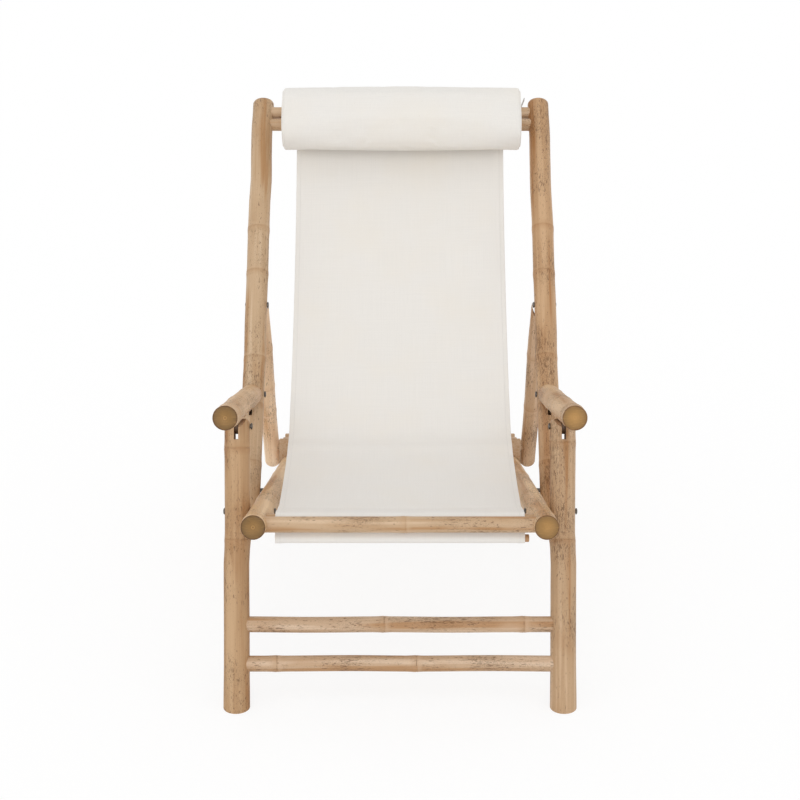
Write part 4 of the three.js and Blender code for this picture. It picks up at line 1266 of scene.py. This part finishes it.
def inflated(obj, half, pressure=4, cap=0.004, frames=20):
    """Swells a closed mesh as stuffed cloth, and keeps each point within a reach that gets shorter towards
    the ends"""
    rest = np.empty(len(obj.data.vertices) * 3)
    obj.data.vertices.foreach_get("co", rest)
    modifier = obj.modifiers.new("cloth", "CLOTH")
    settings = modifier.settings
    settings.quality = 4
    settings.mass = 0.25
    settings.tension_stiffness = settings.compression_stiffness = 25
    settings.bending_stiffness = 4
    settings.use_pressure = True
    settings.uniform_pressure_force = pressure
    settings.effector_weights.gravity = 0
    modifier.collision_settings.use_collision = False
    modifier.point_cache.frame_start, modifier.point_cache.frame_end = 1, frames
    for number in range(1, frames + 1):
        bpy.context.scene.frame_set(number)
    posed = obj.evaluated_get(bpy.context.evaluated_depsgraph_get())
    swollen = np.empty(len(rest))
    posed.data.vertices.foreach_get("co", swollen)
    obj.modifiers.remove(modifier)
    bpy.context.scene.frame_set(1)
    rest = rest.reshape(-1, 3)
    move = swollen.reshape(-1, 3) - rest
    reach = np.linalg.norm(move, axis=1, keepdims=True)
    cap = cap * np.clip(1 - (np.abs(rest[:, :1]) / half) ** 8, 0.1, 1)
    move *= np.minimum(1, cap / np.maximum(reach, 1e-9))
    obj.data.vertices.foreach_set("co", (rest + move).ravel())
    obj.data.update()


class RECLINER_OT_bolster(Operator):
    """The stuffed head bolster with its end seams, and the bands that hold it"""

    bl_idname = "recliner.bolster"
    bl_label = "Head Bolster"

    BACK, FRONT, HEIGHT = 0.04, 0.052, 0.067
    ALONG, SHIFT = 0.763, 0.003
    SQUARE, SQUARE_BACK = 0.66, 0.5
    BAR_OFF = 0.0226
    EASE = 0.003
    SEAM_INSET = 0.005
    PIPING_RADIUS = 0.0013
    BAND_HALF_THICKNESS = 0.0007

    def outset(self):
        """How far the bolster's middle stands off the posts' middle line"""
        bar_share = (self.BAR_OFF / self.HEIGHT) ** (1 / self.SQUARE)
        back_at_bar = self.BACK * math.sqrt(math.sqrt(1 - bar_share**2))
        return TOP_BAR_RADIUS + SLING_GAP + 2 * SLING_ALLOWANCE + SEAT_GAP + back_at_bar

    def from_middle(self, spot):
        """From the bolster's middle line to a spot, with how far it is turned from the posts' heading"""
        place = spot - at_x(on_post(self.ALONG, self.outset()), spot.x)
        return place, math.atan2(place.dot(POST_FACE), place.dot(POST_HEADING))

    def execute(self, context):
        half = sizes().bolster_half_length
        seam = half - self.SEAM_INSET
        deselect_all()
        bpy.ops.mesh.primitive_cylinder_add(
            vertices=72, radius=1, depth=2, location=(0, 0, 0), end_fill_type="NGON")
        obj = named("bolster")
        bpy.ops.object.mode_set(mode="EDIT")
        bpy.ops.mesh.select_all(action="DESELECT")
        for rib in bmesh.from_edit_mesh(obj.data).edges:
            low, high = rib.verts
            rib.select_set(abs(low.co.z - high.co.z) > 1)
        bpy.ops.mesh.subdivide(number_cuts=30)
        for side in (1, -1):
            select_faces(obj, lambda face: face.normal.z * side > 0.9)
            for thickness in (0.12, 0.4, 0.3):
                bpy.ops.mesh.inset(thickness=thickness, depth=0)
        leave_edit()
        for vertex in obj.data.vertices:
            vertex.co = self.shaped(vertex.co, half)
        edit()
        leave_edit(outwards=True)
        remesh(obj)
        inflated(obj, half)
        apply_modifier(obj, "SMOOTH", factor=0.5, iterations=2)
        self.keep_clear(obj)
        self.pinch_seams(obj, seam)
        apply_modifier(obj, "SUBSURF", levels=1, render_levels=1)
        self.mark_cloth(obj)
        obj.data.materials.append(bolster_canvas())
        hand_over(obj, "back_frame", "canvas", "pillow", angle=60)
        self.add_piping(obj, seam)
        self.add_bands()
        return {"FINISHED"}

    def shaped(self, spot, half):
        """Where a point of a unit cylinder goes: flatter at the back, lower in the middle than at the ends"""
        across, off, run = spot
        radius, turn = math.hypot(across, off), math.atan2(off, across)
        front, below = math.sin(turn) > 0, math.cos(turn) < 0
        middle = 1 - run * run
        depth = (self.FRONT - 0.003 + 0.003 * middle if front else self.BACK) - self.EASE
        lower, swell = (0.005, 0.0055) if below else (0.002, 0.0045)
        height = self.HEIGHT - self.EASE - lower + swell * middle
        rise = math.copysign(abs(math.cos(turn)) ** self.SQUARE, math.cos(turn)) * height
        square = self.SQUARE if front else self.SQUARE_BACK
        out = math.copysign(abs(math.sin(turn)) ** square, math.sin(turn)) * depth
        x = run * (half - 0.006)
        if abs(run) > 0.999:
            x += math.copysign(0.004 * (1 - radius**3), run)
        return at_x(on_post(self.ALONG + rise * radius, self.outset() + out * radius), x + self.SHIFT)

    def keep_clear(self, obj):
        """Flattens the back where it bears on the sling over the top bars"""
        for vertex in obj.data.vertices:
            place = vertex.co - at_x(POST_PIVOT, vertex.co.x)
            short = self.outset() - self.BACK + 0.0003 - place.dot(POST_FACE)
            if short > 0:
                vertex.co += POST_FACE * short

    def pinch_seams(self, obj, seam):
        for vertex in obj.data.vertices:
            off = abs(abs(vertex.co.x - self.SHIFT) - seam)
            place, _ = self.from_middle(vertex.co)
            if off < 0.008 and place.length > 0.02:
                vertex.co -= place.normalized() * 0.0013 * math.exp(-(off / 0.0035) ** 2)

    def mark_cloth(self, obj):
        """Metres of cloth: along the bolster, and round it"""
        cloth = []
        for vertex in obj.data.vertices:
            place, turn = self.from_middle(vertex.co)
            cloth.append((vertex.co.x, turn * 0.056, place.length))
        mark(obj, "cloth", cloth)

    def add_piping(self, obj, seam):
        """A thin welt sewn into the seam round each end"""
        for side, hand in HANDS.items():
            ring = bmesh.new()
            ring.from_mesh(obj.data)
            cut = bmesh.ops.bisect_plane(
                ring, geom=ring.verts[:] + ring.edges[:] + ring.faces[:],
                plane_co=(hand * seam + self.SHIFT, 0, 0), plane_no=(1, 0, 0))["geom_cut"]
            spots = [v.co.copy() for v in cut if isinstance(v, bmesh.types.BMVert)]
            ring.free()
            spots.sort(key=lambda spot: self.from_middle(spot)[1])
            picked = spots[:: max(1, len(spots) // 96)]
            line = bpy.data.curves.new(f"piping_{side}", "CURVE")
            line.dimensions = "3D"
            path = line.splines.new("NURBS")
            path.points.add(len(picked) - 1)
            for point, spot in zip(path.points, picked):
                outward = self.from_middle(spot)[0].normalized()
                point.co = (*(spot + outward * 0.0004), 1)
            path.use_cyclic_u = True
            path.order_u = 4
            line.bevel_depth = self.PIPING_RADIUS
            line.bevel_resolution = 3
            piping = bpy.data.objects.new(f"piping_{side}", line)
            bpy.context.scene.collection.objects.link(piping)
            pick(piping)
            bpy.ops.object.convert(target="MESH")
            piping = bpy.context.object
            self.mark_cloth(piping)
            piping.data.materials.append(bolster_canvas())
            hand_over(piping, "back_frame", "canvas", angle=60)

    def add_bands(self):
        """Webbing bands round both top bars, and the loose end of one beside the bolster"""
        radius = TOP_BAR_RADIUS + SEAT_GAP + self.BAND_HALF_THICKNESS
        line = arc(TOP_BAR_LOWER, radius, POST_RISE + 90, POST_RISE + 270, 14)
        line += arc(TOP_BAR_UPPER, radius, POST_RISE + 270, POST_RISE + 450, 14)
        for side, hand in HANDS.items():
            ring = [at_x(point, hand * 0.222) for point in line]
            self.add_ribbon(f"band_{side}", ring, 0.02, Vector((1, 0, 0)), f"pillow_loop_{side}")
        tail = [at_x(on_post(along, off), x) for along, off, x in (
            (0.8125, 0.0055, 0.2415), (0.823, 0.0075, 0.244), (0.832, 0.008, 0.2472), (0.84, 0.0085, 0.2505))]
        self.add_ribbon("band_tail", spline(tail, 12), 0.011, POST_FACE)

    def add_ribbon(self, name, line, width, across, *nodes):
        deselect_all()
        bpy.ops.mesh.primitive_grid_add(
            x_subdivisions=4, y_subdivisions=len(line) - 1, size=1, location=(0, 0, 0))
        obj = named(name)
        run = run_along(line)
        cloth = []
        for i, vertex in enumerate(obj.data.vertices):
            row, column = divmod(i, 5)
            off = (column / 4 - 0.5) * width
            vertex.co = line[row] + across * off
            cloth.append((off, run[row], 0))
        mark(obj, "cloth", cloth)
        if nodes:
            edit()
            bpy.ops.mesh.remove_doubles(threshold=0.00005)
            leave_edit()
        apply_modifier(obj, "SOLIDIFY", thickness=2 * self.BAND_HALF_THICKNESS, offset=0)
        ease_edges(obj, 0.0003, 50)
        obj.data.materials.append(strap_webbing())
        hand_over(obj, "back_frame", "canvas", *nodes, angle=50)


STEPS = (
    RECLINER_OT_stage, RECLINER_OT_seat_rails, RECLINER_OT_back_posts, RECLINER_OT_front_legs,
    RECLINER_OT_armrests, RECLINER_OT_prop, RECLINER_OT_cross_bars, RECLINER_OT_racks, RECLINER_OT_bolts,
    RECLINER_OT_dowels, RECLINER_OT_plates, RECLINER_OT_sling, RECLINER_OT_bolster,
)


class RECLINER_PT_panel(Panel):
    """The recliner's pieces, in the order in which they are made"""

    bl_label = "Bamboo Recliner"
    bl_idname = "RECLINER_PT_panel"
    bl_space_type = "VIEW_3D"
    bl_region_type = "UI"
    bl_category = "Recliner"

    def draw(self, context):
        layout = self.layout
        for group in (sizes(), colours()):
            box = layout.box()
            for key in group.bl_rna.properties.keys():
                if key not in ("rna_type", "name"):
                    box.prop(group, key)
        for step in STEPS:
            layout.operator(step.bl_idname)


CLASSES = (ReclinerSizes, ReclinerColours, *STEPS, RECLINER_PT_panel)


def register():
    for kind in CLASSES:
        bpy.utils.register_class(kind)
    bpy.types.Scene.recliner_sizes = PointerProperty(type=ReclinerSizes)
    bpy.types.Scene.recliner_colours = PointerProperty(type=ReclinerColours)


def unregister():
    del bpy.types.Scene.recliner_colours
    del bpy.types.Scene.recliner_sizes
    for kind in reversed(CLASSES):
        bpy.utils.unregister_class(kind)


def main():
    register()
    for step in STEPS:
        family, action = step.bl_idname.split(".")
        getattr(getattr(bpy.ops, family), action)()


if __name__ == "__main__":
    main()
